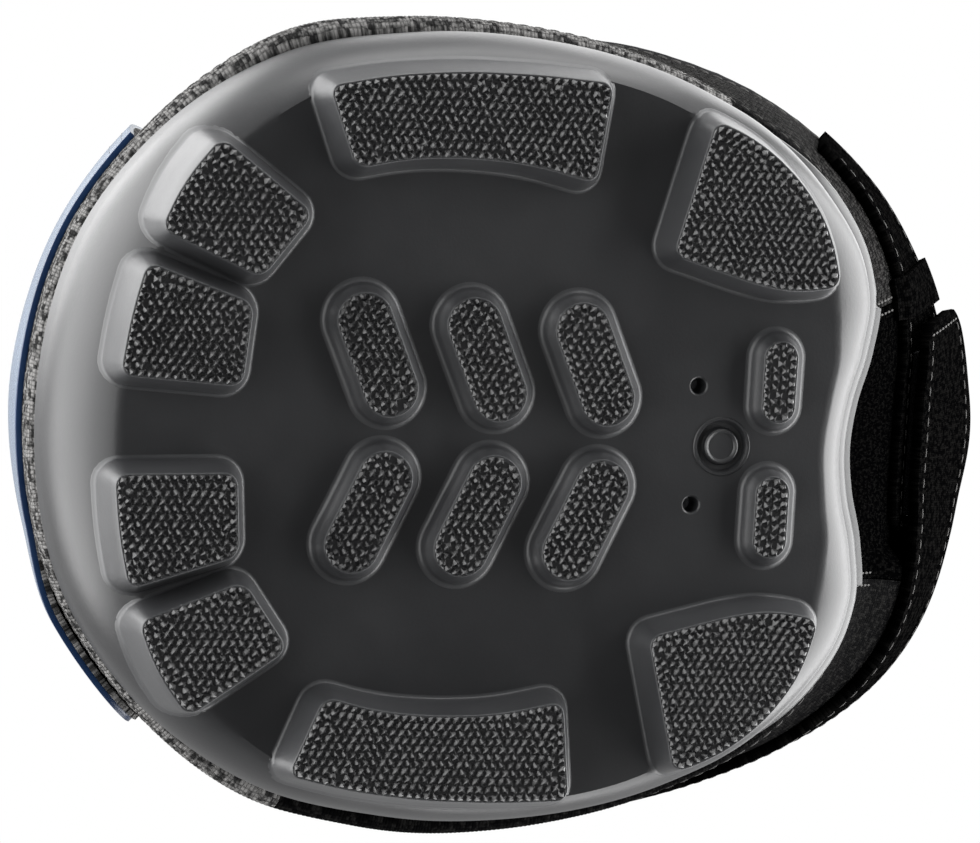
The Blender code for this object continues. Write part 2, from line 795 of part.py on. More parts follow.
def make_heel_straps(looks):
    origin = strap_origin()

    def heights(end):
        def levels(column):
            draw = narrowing(column, end, STRAP_CORNER)
            return evenly(STRAP_LOW + draw, STRAP_HIGH - draw, 3)
        return levels

    slab("heel_strap", spaced(STRAP_ROOT, STRAP_END, STRAP_CORNER), heights(STRAP_END), strap_depth,
         lambda column: strap_depth(column) + STRAP_THICKNESS, looks["black"], origin=origin)
    base_inner = SHELL_THICKNESS + GAP
    base_outer = base_inner + STRAP_THICKNESS
    slab("heel_strap_base", spaced(BASE_ROOT, BASE_END, STRAP_CORNER), heights(BASE_END), base_inner,
         base_outer, looks["black"])

    def tape_heights(column):
        return evenly(STRAP_LOW + STRAP_TAPE_MARGIN, STRAP_HIGH - STRAP_TAPE_MARGIN, 2)

    loop_inner = base_outer + GAP
    loop_outer = loop_inner + STRAP_LOOP_THICKNESS
    hook_inner = loop_outer + GAP
    hook_outer = hook_inner + STRAP_HOOK_THICKNESS
    columns = spaced(STRAP_TAPE_START, STRAP_TAPE_END)
    slab("heel_loop_tape", columns, tape_heights, loop_inner, loop_outer, looks["tape"])
    slab("heel_hook_tape", columns, tape_heights, hook_inner, hook_outer, looks["tape"], origin=origin)


def make_keeper(look):
    """Webbing bridge over the strap, sewn to the shell above and below it."""
    half = KEEPER_WIDTH / 2 / column_length()
    near = SHELL_THICKNESS + GAP
    under = near + STRAP_THICKNESS + KEEPER_SLACK
    outer = under + KEEPER_THICKNESS
    low = STRAP_LOW - SEAT
    high = STRAP_HIGH + SEAT
    corners = (
        (near, low - KEEPER_THICKNESS - KEEPER_OVERRUN), (under, low - KEEPER_THICKNESS),
        (outer, low), (outer, high), (under, high + KEEPER_THICKNESS),
        (near, high + KEEPER_THICKNESS + KEEPER_OVERRUN), (near, high), (under, high), (under, low),
        (near, low))

    def section(column, along):
        return [shell_place(column, height, depth) for depth, height in corners]

    return sweep("strap_keeper", evenly(KEEPER_COLUMN - half, KEEPER_COLUMN + half, 2), section, look)


def stand_on_origin():
    """Moves the boot so that the middle of its footprint is the origin."""
    bpy.context.view_layer.update()
    pieces = [item for item in bpy.context.scene.objects if not item.hide_render]
    corners = [item.matrix_world @ vertex.co for item in pieces for vertex in item.data.vertices]
    shift = Vector((0, 0, 0))
    for axis in (0, 1):
        values = [corner[axis] for corner in corners]
        shift[axis] = -(min(values) + max(values)) / 2
    for item in bpy.context.scene.objects:
        item.location += shift
    bpy.context.view_layer.update()


def main():
    remove_old_objects()
    rubber = material("rubber", RUBBER)
    looks = {
        "woven": material("woven_shell", BLACK_WEAVE),
        "black": material("black_webbing", BLACK_WEAVE),
        "grey": material("grey_weave", GREY_WEAVE),
        "blue": material("blue_facing", BLUE_WEAVE),
        "tape": material("hook_and_loop", TAPE_BLACK),
    }
    make_outsole(rubber)
    make_insole(material("insole_foam", FOAM))
    make_shell(looks)
    make_stiffeners(material("stiffener_board", BOARD))
    make_lining(material("lining_knit", LINING_KNIT))
    make_edge_tape(looks["grey"])
    padding = material("collar_padding", LINING_KNIT)
    make_collar("collar_right", spaced(COLLAR_FRONT, COLLAR_BACK), padding)
    make_collar("collar_left", spaced(-COLLAR_FRONT, -COLLAR_BACK), padding)
    heel_start = COLLAR_BACK + 2 * seam()
    make_collar("heel_collar", spaced(heel_start, 2 * HEEL_COLUMN - heel_start), padding)
    make_tongue(looks)
    make_tongue_pad(padding)
    make_front_flap(looks)
    make_heel_straps(looks)
    make_keeper(looks["black"])
    stand_on_origin()


main()
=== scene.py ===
import functools
import math
import random
from types import MappingProxyType

import bmesh
import bpy
from mathutils import Matrix, Vector
from mathutils.kdtree import KDTree


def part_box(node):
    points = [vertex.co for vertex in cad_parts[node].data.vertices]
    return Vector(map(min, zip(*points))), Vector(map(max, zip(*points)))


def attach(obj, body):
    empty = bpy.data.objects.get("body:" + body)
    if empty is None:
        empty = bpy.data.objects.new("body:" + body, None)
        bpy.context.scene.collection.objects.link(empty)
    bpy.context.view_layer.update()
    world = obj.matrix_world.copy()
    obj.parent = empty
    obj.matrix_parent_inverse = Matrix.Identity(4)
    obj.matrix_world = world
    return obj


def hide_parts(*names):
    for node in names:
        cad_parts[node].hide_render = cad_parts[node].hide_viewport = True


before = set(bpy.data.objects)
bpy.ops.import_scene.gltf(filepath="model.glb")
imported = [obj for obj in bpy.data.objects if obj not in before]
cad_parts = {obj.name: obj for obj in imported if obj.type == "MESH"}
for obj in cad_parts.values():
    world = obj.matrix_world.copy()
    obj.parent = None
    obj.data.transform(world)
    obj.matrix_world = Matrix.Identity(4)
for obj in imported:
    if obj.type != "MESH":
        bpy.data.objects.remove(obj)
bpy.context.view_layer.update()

# Outsole body
# One moulding in dark grey rubber: a flat tread plate, a bevel that rolls up to the rim, stepped
# ribs round the notched heel, and a low cup wall that holds the upper.
RIM_HALF_WIDTH = 0.0770
RIM_TOE_REACH = 0.0825
RIM_HEEL_REACH = 0.0830
RIM_SHARES = (
    (0, -0.987), (0.30, -0.953), (0.545, -0.854), (0.775, -0.665), (0.93, -0.42), (0.99, -0.15), (1, 0.08),
    (0.965, 0.34), (0.885, 0.56), (0.735, 0.80), (0.565, 0.94), (0.40, 0.995), (0.25, 0.985),
    (0.12, 0.955), (0, 0.943),
)
COLUMNS = 84
COLUMNS_PER_POINT = 3
HEEL_COLUMN = 42
PLATE_LEVEL = 0.0080
FLOOR_LEVEL = 0.0140
RIM_HEIGHT = 0.0280
HEEL_DROP = 0.0080
LIP_RISE = 0.0060
CUP_WALL = 0.0032
TOE_BEVEL = 0.0120
SIDE_BEVEL = 0.0060
HEEL_BEVEL = 0.0121
NOTCH_BEVEL = 0.0083
sole_low, sole_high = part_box("outsole")
SOLE_MIDDLE = Vector(((sole_low.x + sole_high.x) / 2, sole_low.y - RIM_SHARES[0][1] * RIM_TOE_REACH))
SOLE_POINTS = 420
END_SPAN = (0.30, 0.85)
RIB_SPAN = (0.64, 0.90)
NOTCH_SPAN = (0.004, 0.033)


def share(value, start, end):
    """0 at start, 1 at end, smooth between."""
    part = min(max((value - start) / (end - start), 0), 1)
    return part * part * (3 - 2 * part)


def loop_point(shares, half_width, toe_reach, heel_reach, column):
    """Point of a closed smooth curve through the mirrored shares."""
    last = len(shares) - 1

    def control(index):
        index %= 2 * last
        side = 1
        if index > last:
            index = 2 * last - index
            side = -1
        across, along = shares[index]
        return Vector((side * across * half_width, along * (heel_reach if along > 0 else toe_reach)))

    place = column / COLUMNS_PER_POINT
    start = math.floor(place)
    step = place - start
    before, here, there, after = (control(start + shift) for shift in (-1, 0, 1, 2))
    bend = 2 * before - 5 * here + 4 * there - after
    twist = 3 * here - before - 3 * there + after
    return (2 * here + (there - before) * step + bend * step ** 2 + twist * step ** 3) / 2


@functools.cache
def rim_point(column):
    return loop_point(RIM_SHARES, RIM_HALF_WIDTH, RIM_TOE_REACH, RIM_HEEL_REACH, column)


@functools.cache
def outward(curve, column):
    """Unit normal in plan, pointing out of the boot."""
    tangent = curve(column + 1) - curve(column - 1)
    return Vector((tangent.y, -tangent.x)).normalized()


@functools.cache
def heel_share(column):
    return share(rim_point(column).y / RIM_HEEL_REACH, *END_SPAN)


@functools.cache
def rib_share(column):
    """Where the heel's ribs stand out, fading away along the sides."""
    return share(rim_point(column).y / RIM_HEEL_REACH, *RIB_SPAN)


def rim_height(column):
    return RIM_HEIGHT - HEEL_DROP * heel_share(column)


@functools.cache
def bevel_width(column):
    direction = outward(rim_point, column).y
    end = TOE_BEVEL if direction < 0 else HEEL_BEVEL
    width = SIDE_BEVEL + (end - SIDE_BEVEL) * direction ** 2
    if direction > 0:
        width -= (HEEL_BEVEL - NOTCH_BEVEL) * (1 - share(abs(rim_point(column).x), *NOTCH_SPAN))
    return width


def ring_edges(bm, ring):
    return [bm.edges.get((ring[index - 1], ring[index])) for index in range(len(ring))]


def next_ring(bm, ring, place):
    """Extrudes a closed row of points and moves each new point to its place."""
    made = bmesh.ops.extrude_edge_only(bm, edges=ring_edges(bm, ring))["geom"]
    fresh = {item for item in made if isinstance(item, bmesh.types.BMVert)}
    result = []
    for index, vertex in enumerate(ring):
        partners = (edge.other_vert(vertex) for edge in vertex.link_edges)
        partner = next(other for other in partners if other in fresh)
        partner.co = place(index)
        result.append(partner)
    return result


def link(name, data):
    """An object of the scene with this data."""
    item = bpy.data.objects.new(name, data)
    bpy.context.scene.collection.objects.link(item)
    return item


def new_object(name, bm):
    """A smooth-shaded object of a bmesh, which is freed."""
    mesh = bpy.data.meshes.new(name)
    bm.to_mesh(mesh)
    bm.free()
    mesh.shade_smooth()
    return link(name, mesh)


def dress(piece, material, body, node=None, slot=None):
    """Gives a piece its material and its body, and hides the node that it stands for; the slot is not used."""
    piece.data.materials.append(material)
    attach(piece, body)
    if node:
        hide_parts(node)
    return piece


def new_piece(name, bm, *dressing, smooth=40, **slot):
    """A dressed object of a bmesh, with sharp edges from an angle in degrees."""
    bmesh.ops.recalc_face_normals(bm, faces=bm.faces)
    piece = new_object(name, bm)
    piece.data.set_sharp_from_angle(angle=math.radians(smooth))
    return dress(piece, *dressing, **slot)


def place_node(tree, kind, inputs=MappingProxyType({}), **settings):
    """A shader node with its settings, and its inputs given as values or as other nodes' outputs."""
    made = tree.nodes.new("ShaderNode" + kind)
    for key, value in settings.items():
        setattr(made, key, value)
    for key, value in inputs.items():
        if isinstance(value, bpy.types.NodeSocket):
            tree.links.new(value, made.inputs[key])
        else:
            made.inputs[key].default_value = value
    return made


def sum_of(tree, operation, *values):
    """Output of a Math node over numbers or outputs."""
    return place_node(tree, "Math", dict(enumerate(values)), operation=operation).outputs[0]


def new_group(name, inputs, outputs):
    """A node group with named inputs (kind, value) and outputs (kind)."""
    tree = bpy.data.node_groups.new(name, "ShaderNodeTree")
    for key, (kind, value) in inputs.items():
        tree.interface.new_socket(key, in_out="INPUT", socket_type=kind).default_value = value
    for key, kind in outputs.items():
        tree.interface.new_socket(key, in_out="OUTPUT", socket_type=kind)
    return tree, tree.nodes.new("NodeGroupInput").outputs, tree.nodes.new("NodeGroupOutput")


def make_patches():
    """Cloudy tone and fine grain of moulded or cut surfaces, on Object coordinates."""
    number, colour = "NodeSocketFloat", "NodeSocketColor"
    tree, given, result = new_group(
        "surface_patches",
        {"dark": (colour, (0, 0, 0, 1)), "light": (colour, (1, 1, 1, 1)), "patch": (number, 40),
         "grain": (number, 900), "smooth": (number, 0.3), "rough": (number, 0.6)},
        {"Color": colour, "Roughness": number, "Height": number})
    node, maths = functools.partial(place_node, tree), functools.partial(sum_of, tree)
    place = node("TexCoord").outputs["Object"]
    patch = node("TexNoise", {
        "Vector": place, "Scale": given["patch"], "Detail": 4, "Roughness": 0.62})
    grain = node("TexNoise", {
        "Vector": place, "Scale": given["grain"], "Detail": 3, "Roughness": 0.7})
    spread = node("MapRange", {
        "Value": patch.outputs[0], "From Min": 0.34, "From Max": 0.68}).outputs[0]
    fleck = node("MapRange", {
        "Value": grain.outputs[0], "From Min": 0.30, "From Max": 0.75}).outputs[0]
    tone = maths("ADD", maths("MULTIPLY", spread, 0.65), maths("MULTIPLY", fleck, 0.35))
    mixed = node("Mix", {0: tone, 6: given["dark"], 7: given["light"]}, data_type="RGBA")
    tree.links.new(mixed.outputs[2], result.inputs["Color"])
    rough = node("MapRange", {
        "Value": tone, "To Min": given["smooth"], "To Max": given["rough"]}).outputs[0]
    tree.links.new(rough, result.inputs["Roughness"])
    tree.links.new(grain.outputs[0], result.inputs["Height"])
    return tree


patches = make_patches()


def surface(name, group, relief, bump=0.5, sheen=0.0, specular=0.5, **values):
    """A material whose colour, roughness and relief come from a group with these values."""
    material = bpy.data.materials.new(name)
    material.use_nodes = True
    tree = material.node_tree
    shader = tree.nodes["Principled BSDF"]
    effect = place_node(tree, "Group", node_tree=group)
    for key, value in values.items():
        effect.inputs[key].default_value = (*value, 1) if isinstance(value, tuple) else value
    tree.links.new(effect.outputs["Color"], shader.inputs["Base Color"])
    tree.links.new(effect.outputs["Roughness"], shader.inputs["Roughness"])
    raised = place_node(tree, "Bump", {
        "Height": effect.outputs["Height"], "Strength": bump, "Distance": relief})
    tree.links.new(raised.outputs[0], shader.inputs["Normal"])
    shader.inputs["Specular IOR Level"].default_value = specular
    shader.inputs["Sheen Weight"].default_value = sheen
    return material


rubber = surface("moulded_rubber", patches,
    dark=(0.013, 0.0133, 0.0145), light=(0.020, 0.0205, 0.022), patch=34, grain=1500, smooth=0.32, rough=0.44,
    relief=0.00006, bump=0.35, specular=0.58)

# Rows of the moulding from the plate to the floor of the cup: distance inside the rim and height,
# plain along the toe and sides and stepped at the heel
BEVEL_STEPS = 14
PLATE_MARGIN = 0.0012
LIP_BLUNT = 0.0006
LIP_ROWS = ((LIP_BLUNT, 0), (CUP_WALL - 0.0005, 0), (CUP_WALL, 0.0005))
CUP_ROWS = ((CUP_WALL, FLOOR_LEVEL + 0.006), (0.0052, FLOOR_LEVEL + 0.0012), (0.0065, FLOOR_LEVEL))
HEEL_STEPS = (
    (-0.0027, 0.0155), (-0.0030, 0.0159), (-0.0030, 0.0163), (-0.0022, 0.0166), (-0.0010, 0.0171),
    (-0.0003, 0.0179), (0, 0.0189), (-0.0002, 0.0197), (-0.0007, 0.0202), (-0.0010, 0.0206),
    (-0.0004, 0.0210), (0, 0.0217), (0.0001, 0.0230), (0, 0.0245), (-0.0004, 0.0256),
)
TAB_REACH = 0.0290
TAB_PROUD = 0.0022
TAB_FIRST_ROW = 9
DRAIN_SHARES = (0.150, 0.529)
DRAIN_RADIUS = 0.0015
MARK_SHARE = 0.595
MARK_RADIUS = 0.0055
MARK_BUTTON_RADIUS = 0.0034
MARK_STEPS = tuple((radius, PLATE_LEVEL + deep) for radius, deep in (
    (MARK_RADIUS + 0.0001, -0.0002), (MARK_RADIUS - 0.0003, -0.0002), (MARK_RADIUS - 0.0006, 0.0002),
    (MARK_RADIUS - 0.0009, 0.0011), (MARK_RADIUS - 0.0012, 0.0012), (MARK_BUTTON_RADIUS + 0.0004, 0.0012),
    (MARK_BUTTON_RADIUS + 0.0001, 0.0009), (MARK_BUTTON_RADIUS, 0.0001), (MARK_BUTTON_RADIUS - 0.0003, -0.0001),
    (MARK_BUTTON_RADIUS - 0.0006, 0), (MARK_BUTTON_RADIUS - 0.0009, 0.0003), (0.0008, 0.00035)))


def tab_share(column):
    """1 across the heel notch, 0 at the small gaps at its ends, fading beyond them."""
    across = abs(rim_point(column).x)
    gap = 1 - share(abs(across - TAB_REACH), 0.0011, 0.0004)
    beyond = 1 if across < TAB_REACH else 0.55 * (1 - share(across, TAB_REACH, 0.046))
    return gap * beyond * rib_share(column)


def sole_place(column, inside, height):
    return Vector((*(rim_point(column) - outward(rim_point, column) * inside + SOLE_MIDDLE), height))


def bevel_row(column, rise):
    """Distance inside the rim and height of the bevel, for a rise from 0 at the plate to 1 at its end.

    It leaves the plate with a crease, slight at the toe and steep behind the heel."""
    ribs = rib_share(column)
    crease = math.radians(15 + 11 * ribs)
    reach = bevel_width(column) + HEEL_STEPS[0][0] * ribs
    top = rim_height(column) * (1 - ribs) + HEEL_STEPS[0][1] * ribs
    sine = math.sin(crease) + (1 - math.sin(crease)) * rise
    drop = (top - PLATE_LEVEL) * math.sqrt(max(1 - sine ** 2, 0)) / math.cos(crease)
    return bevel_width(column) - reach * rise, top - drop


def bevel_height(column, inside):
    """Height of the underside at a distance inside the rim."""
    reach = bevel_width(column) + HEEL_STEPS[0][0] * rib_share(column)
    return bevel_row(column, min(max((bevel_width(column) - inside) / reach, 0), 1))[1]


def wall_row(column, row):
    """A row of the wall above the bevel: plain, or one of the heel's steps."""
    offset, level = HEEL_STEPS[row]
    ribs = rib_share(column)
    plain = rim_height(column) + (LIP_RISE - LIP_BLUNT) * row / (len(HEEL_STEPS) - 1)
    proud = TAB_PROUD * tab_share(column) * min(max(row - TAB_FIRST_ROW, 0) / 2, 1)
    return -(offset + proud) * ribs, plain * (1 - ribs) + level * ribs


def lip_row(column, inside, drop):
    return inside, rim_height(column) + LIP_RISE - drop


def sole_rings(bm, ring, columns, rows):
    """Rings round the sole: each row gives the distance inside the rim and the height at a column."""
    for row in rows:
        ring = next_ring(bm, ring, lambda index: sole_place(columns[index], *row(columns[index])))
    return ring


def plate_opening(bm, middle, radius, segments):
    """A circle of points in the plate, with their directions from its middle."""
    ring = bmesh.ops.create_circle(
        bm, segments=segments, radius=radius, matrix=Matrix.Translation(middle))["verts"]
    for vertex in ring:
        vertex.co.z = PLATE_LEVEL
    return ring, [(vertex.co.xy - middle.xy).normalized() for vertex in ring]


def round_rings(bm, ring, middle, around, steps):
    """Rings about an upright axis, each with its radius and height."""
    for radius, level in steps:
        ring = next_ring(bm, ring, lambda index: (
            middle.x + around[index].x * radius, middle.y + around[index].y * radius, level))
    return ring


def make_sole_body():
    bm = bmesh.new()
    columns = [COLUMNS * index / SOLE_POINTS for index in range(SOLE_POINTS)]
    plate_ring = bmesh.ops.create_circle(bm, segments=SOLE_POINTS, radius=RIM_HALF_WIDTH)["verts"]
    for column, vertex in zip(columns, plate_ring):
        vertex.co = sole_place(column, bevel_width(column) + PLATE_MARGIN, PLATE_LEVEL)
    rows = [functools.partial(bevel_row, rise=math.sin(math.pi / 2 * step / BEVEL_STEPS))
            for step in range(BEVEL_STEPS + 1)]
    rows += [functools.partial(wall_row, row=row) for row in range(1, len(HEEL_STEPS))]
    rows += [functools.partial(lip_row, inside=inside, drop=drop) for inside, drop in LIP_ROWS]
    rows += [lambda column, spot=spot: spot for spot in CUP_ROWS]
    ring = sole_rings(bm, plate_ring, columns, rows)
    floor_edges = ring_edges(bm, ring)
    plate_edges = ring_edges(bm, plate_ring)
    for side in (1, -1):
        middle = Vector((side * DRAIN_SHARES[0] * RIM_HALF_WIDTH + SOLE_MIDDLE.x,
                         DRAIN_SHARES[1] * RIM_TOE_REACH + SOLE_MIDDLE.y, 0))
        hole, around = plate_opening(bm, middle, DRAIN_RADIUS + 0.0004, 28)
        plate_edges += ring_edges(bm, hole)
        hole = round_rings(bm, hole, middle, around, (
            (DRAIN_RADIUS + 0.0001, PLATE_LEVEL + 0.0002), (DRAIN_RADIUS, PLATE_LEVEL + 0.0005),
            (DRAIN_RADIUS, FLOOR_LEVEL)))
        floor_edges += ring_edges(bm, hole)
    middle = Vector((SOLE_MIDDLE.x, MARK_SHARE * RIM_TOE_REACH + SOLE_MIDDLE.y, 0))
    mark, around = plate_opening(bm, middle, MARK_RADIUS + 0.0003, 72)
    plate_edges += ring_edges(bm, mark)
    bm.faces.new(round_rings(bm, mark, middle, around, MARK_STEPS))
    bmesh.ops.triangle_fill(bm, edges=plate_edges, use_beauty=True, normal=(0, 0, -1))
    bmesh.ops.triangle_fill(bm, edges=floor_edges, use_beauty=True, normal=(0, 0, 1))
    new_piece("sole_body", bm, rubber, "boot", "outsole", "rubber", smooth=32)


make_sole_body()

# Tread lugs
# Drafted blocks of the same rubber, moulded in one with the plate: four at the toe, a long one on
# each side and two at the heel, each with a thin lip round its face and a fillet at its foot.
LUG_DRAFT = 0.0020
LUG_CORNER = 0.0026
LUG_FILLET = 0.0008
FACE_LEVEL = 0.00078
SIDE_LUG_SHARES = (
    (0.848, -0.425), (0.885, -0.27), (0.904, -0.10), (0.906, 0.08), (0.896, 0.250), (0.644, 0.222),
    (0.681, 0.07), (0.690, -0.08), (0.681, -0.22), (0.647, -0.350),
)
TOE_OUTER_LUG_SHARES = ((0.709, -0.665), (0.535, -0.440), (0.369, -0.554), (0.477, -0.794), (0.600, -0.745))
TOE_INNER_LUG_SHARES = ((0.400, -0.819), (0.310, -0.567), (0.104, -0.583), (0.119, -0.867), (0.268, -0.850))
HEEL_LUG_SHARES = (
    (0.821, 0.501), (0.780, 0.600), (0.713, 0.689), (0.630, 0.760), (0.540, 0.808), (0.421, 0.836),
    (0.400, 0.740), (0.410, 0.640), (0.477, 0.417),
)
BLUNT_ANGLE = math.radians(150)
BLUNT_CORNER = 0.0045
OUTLINE_STEP = 0.0014
LIP_STEPS = (
    (-0.00055, 0), (-0.00040, -0.00016), (-0.00022, -0.00022), (-0.00006, -0.00016), (0.00004, 0.00010),
)
FACE_INSET = 0.00080
FLANK_STEPS = (0.3, 0.65, 1)
FILLET_STEPS = 5
# The lug rubber is the sole's rubber made lighter, so that the lug flanks read brighter where side light falls on
# them: partly painted light.
lug_rubber_painted_light = surface("lug_rubber_painted_light", patches,
    dark=(0.028, 0.0285, 0.0305), light=(0.040, 0.041, 0.043), patch=60, grain=1500, smooth=0.34, rough=0.46,
    relief=0.00006, bump=0.35, specular=0.6)
# The rubber of the studs and the lug faces is the same rubber made darker, standing in for the shade on faces that
# look away from the lamps: painted shade.
stud_rubber_painted_shade = surface("stud_rubber_painted_shade", patches,
    dark=(0.006, 0.006, 0.0066), light=(0.011, 0.011, 0.012), patch=34, grain=1500, smooth=0.22, rough=0.34,
    relief=0.00004, bump=0.3, specular=0.75)

rim_tree = KDTree(SOLE_POINTS)
for number in range(SOLE_POINTS):
    rim_tree.insert((*rim_point(COLUMNS * number / SOLE_POINTS), 0), number)
rim_tree.balance()


def tread_height(point):
    """Height of the plate or bevel over a point of the tread, in the frame."""
    local = point - SOLE_MIDDLE
    _, number, _ = rim_tree.find((*local, 0))
    column = COLUMNS * number / SOLE_POINTS
    return bevel_height(column, (rim_point(column) - local).dot(outward(rim_point, column)))


def outline_points(corners):
    """Smooth outline of a lug face: sharp corners get an arc, blunt ones run through."""
    bm = bmesh.new()
    vertices = [bm.verts.new((corner.x, corner.y, 0)) for corner in corners]
    bm.faces.new(vertices)
    blunt = []
    sharp = []
    for index, corner in enumerate(corners):
        back = corners[index - 1] - corner
        ahead = corners[(index + 1) % len(corners)] - corner
        (blunt if back.angle(ahead) > BLUNT_ANGLE else sharp).append(vertices[index])
    for rounded, offset, segments in ((sharp, LUG_CORNER, 6), (blunt, BLUNT_CORNER, 4)):
        if rounded:
            bmesh.ops.bevel(bm, geom=rounded, offset=offset, segments=segments, profile=0.5,
                            affect="VERTICES", material=-1, clamp_overlap=True)
    for edge in list(bm.edges):
        cuts = math.floor(edge.calc_length() / OUTLINE_STEP)
        if cuts:
            bmesh.ops.subdivide_edges(bm, edges=[edge], cuts=cuts)
    bmesh.ops.remove_doubles(bm, verts=bm.verts, dist=0.00005)
    bm.faces.ensure_lookup_table()
    points = [vertex.co.xy for vertex in bm.faces[0].verts]
    bm.free()
    return points


def side_ways(points):
    """Unit normals of an outline, pointing away from it."""
    turn = sum(points[index - 1].cross(points[index]) for index in range(len(points)))
    side = 1 if turn > 0 else -1
    result = []
    for index, point in enumerate(points):
        tangent = (points[(index + 1) % len(points)] - points[index - 1]).normalized()
        result.append(Vector((tangent.y, -tangent.x)) * side)
    return result


def add_lug(bm, points, face_level, draft, fillet):
    """Block from its studded face up to the plate, closed at its face and sunk into the sole.

    Its face is flat to a ring just inside the lip, and takes the second material, a darker copy of the rubber with
    painted shade."""
    ways = side_ways(points)

    def spot(index, offset):
        return points[index] + ways[index] * offset

    ring = [bm.verts.new((*spot(index, -FACE_INSET), face_level)) for index in range(len(points))]
    face = bm.faces.new(ring)
    for offset, level in LIP_STEPS:
        ring = next_ring(bm, ring, lambda index: (*spot(index, offset), face_level + level))
    foot = [tread_height(spot(index, draft)) for index in range(len(points))]
    top = face_level + 0.0003
    for part in FLANK_STEPS:
        ring = next_ring(bm, ring, lambda index: (
            *spot(index, draft * part), top + (foot[index] - fillet - top) * part))
    for turn in range(1, FILLET_STEPS + 1):
        angle = math.pi / 2 * turn / FILLET_STEPS

        def fillet_place(index):
            plan = spot(index, draft + fillet * (1 - math.cos(angle)))
            return (*plan, tread_height(plan) - fillet * (1 - math.sin(angle)) - 0.00002)

        ring = next_ring(bm, ring, fillet_place)

    def sunk_place(index):
        plan = spot(index, draft + fillet + 0.0002)
        return (*plan, tread_height(plan) + 0.0004)

    next_ring(bm, ring, sunk_place)
    face.material_index = 1


def frame_places(shares):
    return [Vector((across * RIM_HALF_WIDTH, along * RIM_TOE_REACH)) + SOLE_MIDDLE for across, along in shares]


def mirrored(points):
    return [Vector((2 * SOLE_MIDDLE.x - point.x, point.y)) for point in reversed(points)]


face_outlines = []
lug_data = bmesh.new()
for shares in (SIDE_LUG_SHARES, TOE_OUTER_LUG_SHARES, TOE_INNER_LUG_SHARES, HEEL_LUG_SHARES):
    corners = frame_places(shares)
    for placed in (corners, mirrored(corners)):
        points = outline_points(placed)
        add_lug(lug_data, points, FACE_LEVEL, LUG_DRAFT, LUG_FILLET)
        face_outlines.append((points, FACE_LEVEL))
new_piece("tread_lugs", lug_data, lug_rubber_painted_light, "boot", "outsole", "rubber", smooth=50).data.materials.append(
    stud_rubber_painted_shade)

# Middle bars and heel pads
# Lower studded blocks with round ends: six bars in two rows in the middle of the plate, and two
# upright pads at the heel edge.
BAR_HEIGHT = 0.0042
BAR_DRAFT = 0.0014
BAR_FILLET = 0.0012
BAR_LENGTH = 0.0250
BAR_WIDTH = 0.0110
BAR_SPACING = 0.0215
BAR_FROM_AXIS = 0.0150
BAR_LEAN = math.radians(24)
HEEL_PAD_SHARES = (0.171, 0.715)
HEEL_PAD_LENGTH = 0.0162
HEEL_PAD_WIDTH = 0.0070


def stadium(centre, length, width, angle):
    """A bar with round ends, its length turned by an angle from the Y axis."""
    bm = bmesh.new()
    round_end = bmesh.ops.create_circle(bm, segments=48, radius=width / 2)["verts"]
    for vertex in round_end:
        vertex.co.y += (length - width) / 2 if vertex.co.y > 0 else -(length - width) / 2
    bmesh.ops.rotate(bm, verts=bm.verts, matrix=Matrix.Rotation(angle, 3, "Z"))
    points = [vertex.co.xy + centre for vertex in round_end]
    bm.free()
    return points


bar_data = bmesh.new()
bar_level = PLATE_LEVEL - BAR_HEIGHT + FACE_LEVEL
blocks = [(frame_places([HEEL_PAD_SHARES])[0], HEEL_PAD_LENGTH, HEEL_PAD_WIDTH, math.pi / 2)]
for row in (-1, 0, 1):
    blocks.append((Vector((BAR_FROM_AXIS, row * BAR_SPACING)) + SOLE_MIDDLE, BAR_LENGTH, BAR_WIDTH,
                   math.pi / 2 - BAR_LEAN))
for block in blocks:
    one_side = stadium(*block)
    for points in (one_side, mirrored(one_side)):
        add_lug(bar_data, points, bar_level, BAR_DRAFT, BAR_FILLET)
        face_outlines.append((points, bar_level))
new_piece("tread_bars", bar_data, lug_rubber_painted_light, "boot", "outsole", "rubber", smooth=50).data.materials.append(
    stud_rubber_painted_shade)

# Studs
# Small four-sided points that roughen every lug face: one row follows the edge, the rest keep an
# even distance from each other, so that they run in short curved rows.
STUD_RADIUS = 0.00103
STUD_HEIGHT = 0.00072
STUD_PITCH = 0.00168
STUD_TIP = 0.00011
STUD_SINK = 0.00004
EDGE_ROW = 0.00092
RELAX_ROUNDS = 16
RELAX_REACH = 1.15 * STUD_PITCH
RELAX_PUSH = 0.22


def distance_inside(points, place):
    """Distance from the outline, negative outside."""
    nearest = 1.0
    crossings = 0
    for index, end in enumerate(points):
        start = points[index - 1]
        span = end - start
        part = min(max((place - start).dot(span) / span.length_squared, 0), 1)
        nearest = min(nearest, (place - start - span * part).length)
        if (start.y > place.y) != (end.y > place.y):
            if place.x < start.x + (place.y - start.y) / span.y * span.x:
                crossings += 1
    return nearest if crossings % 2 else -nearest


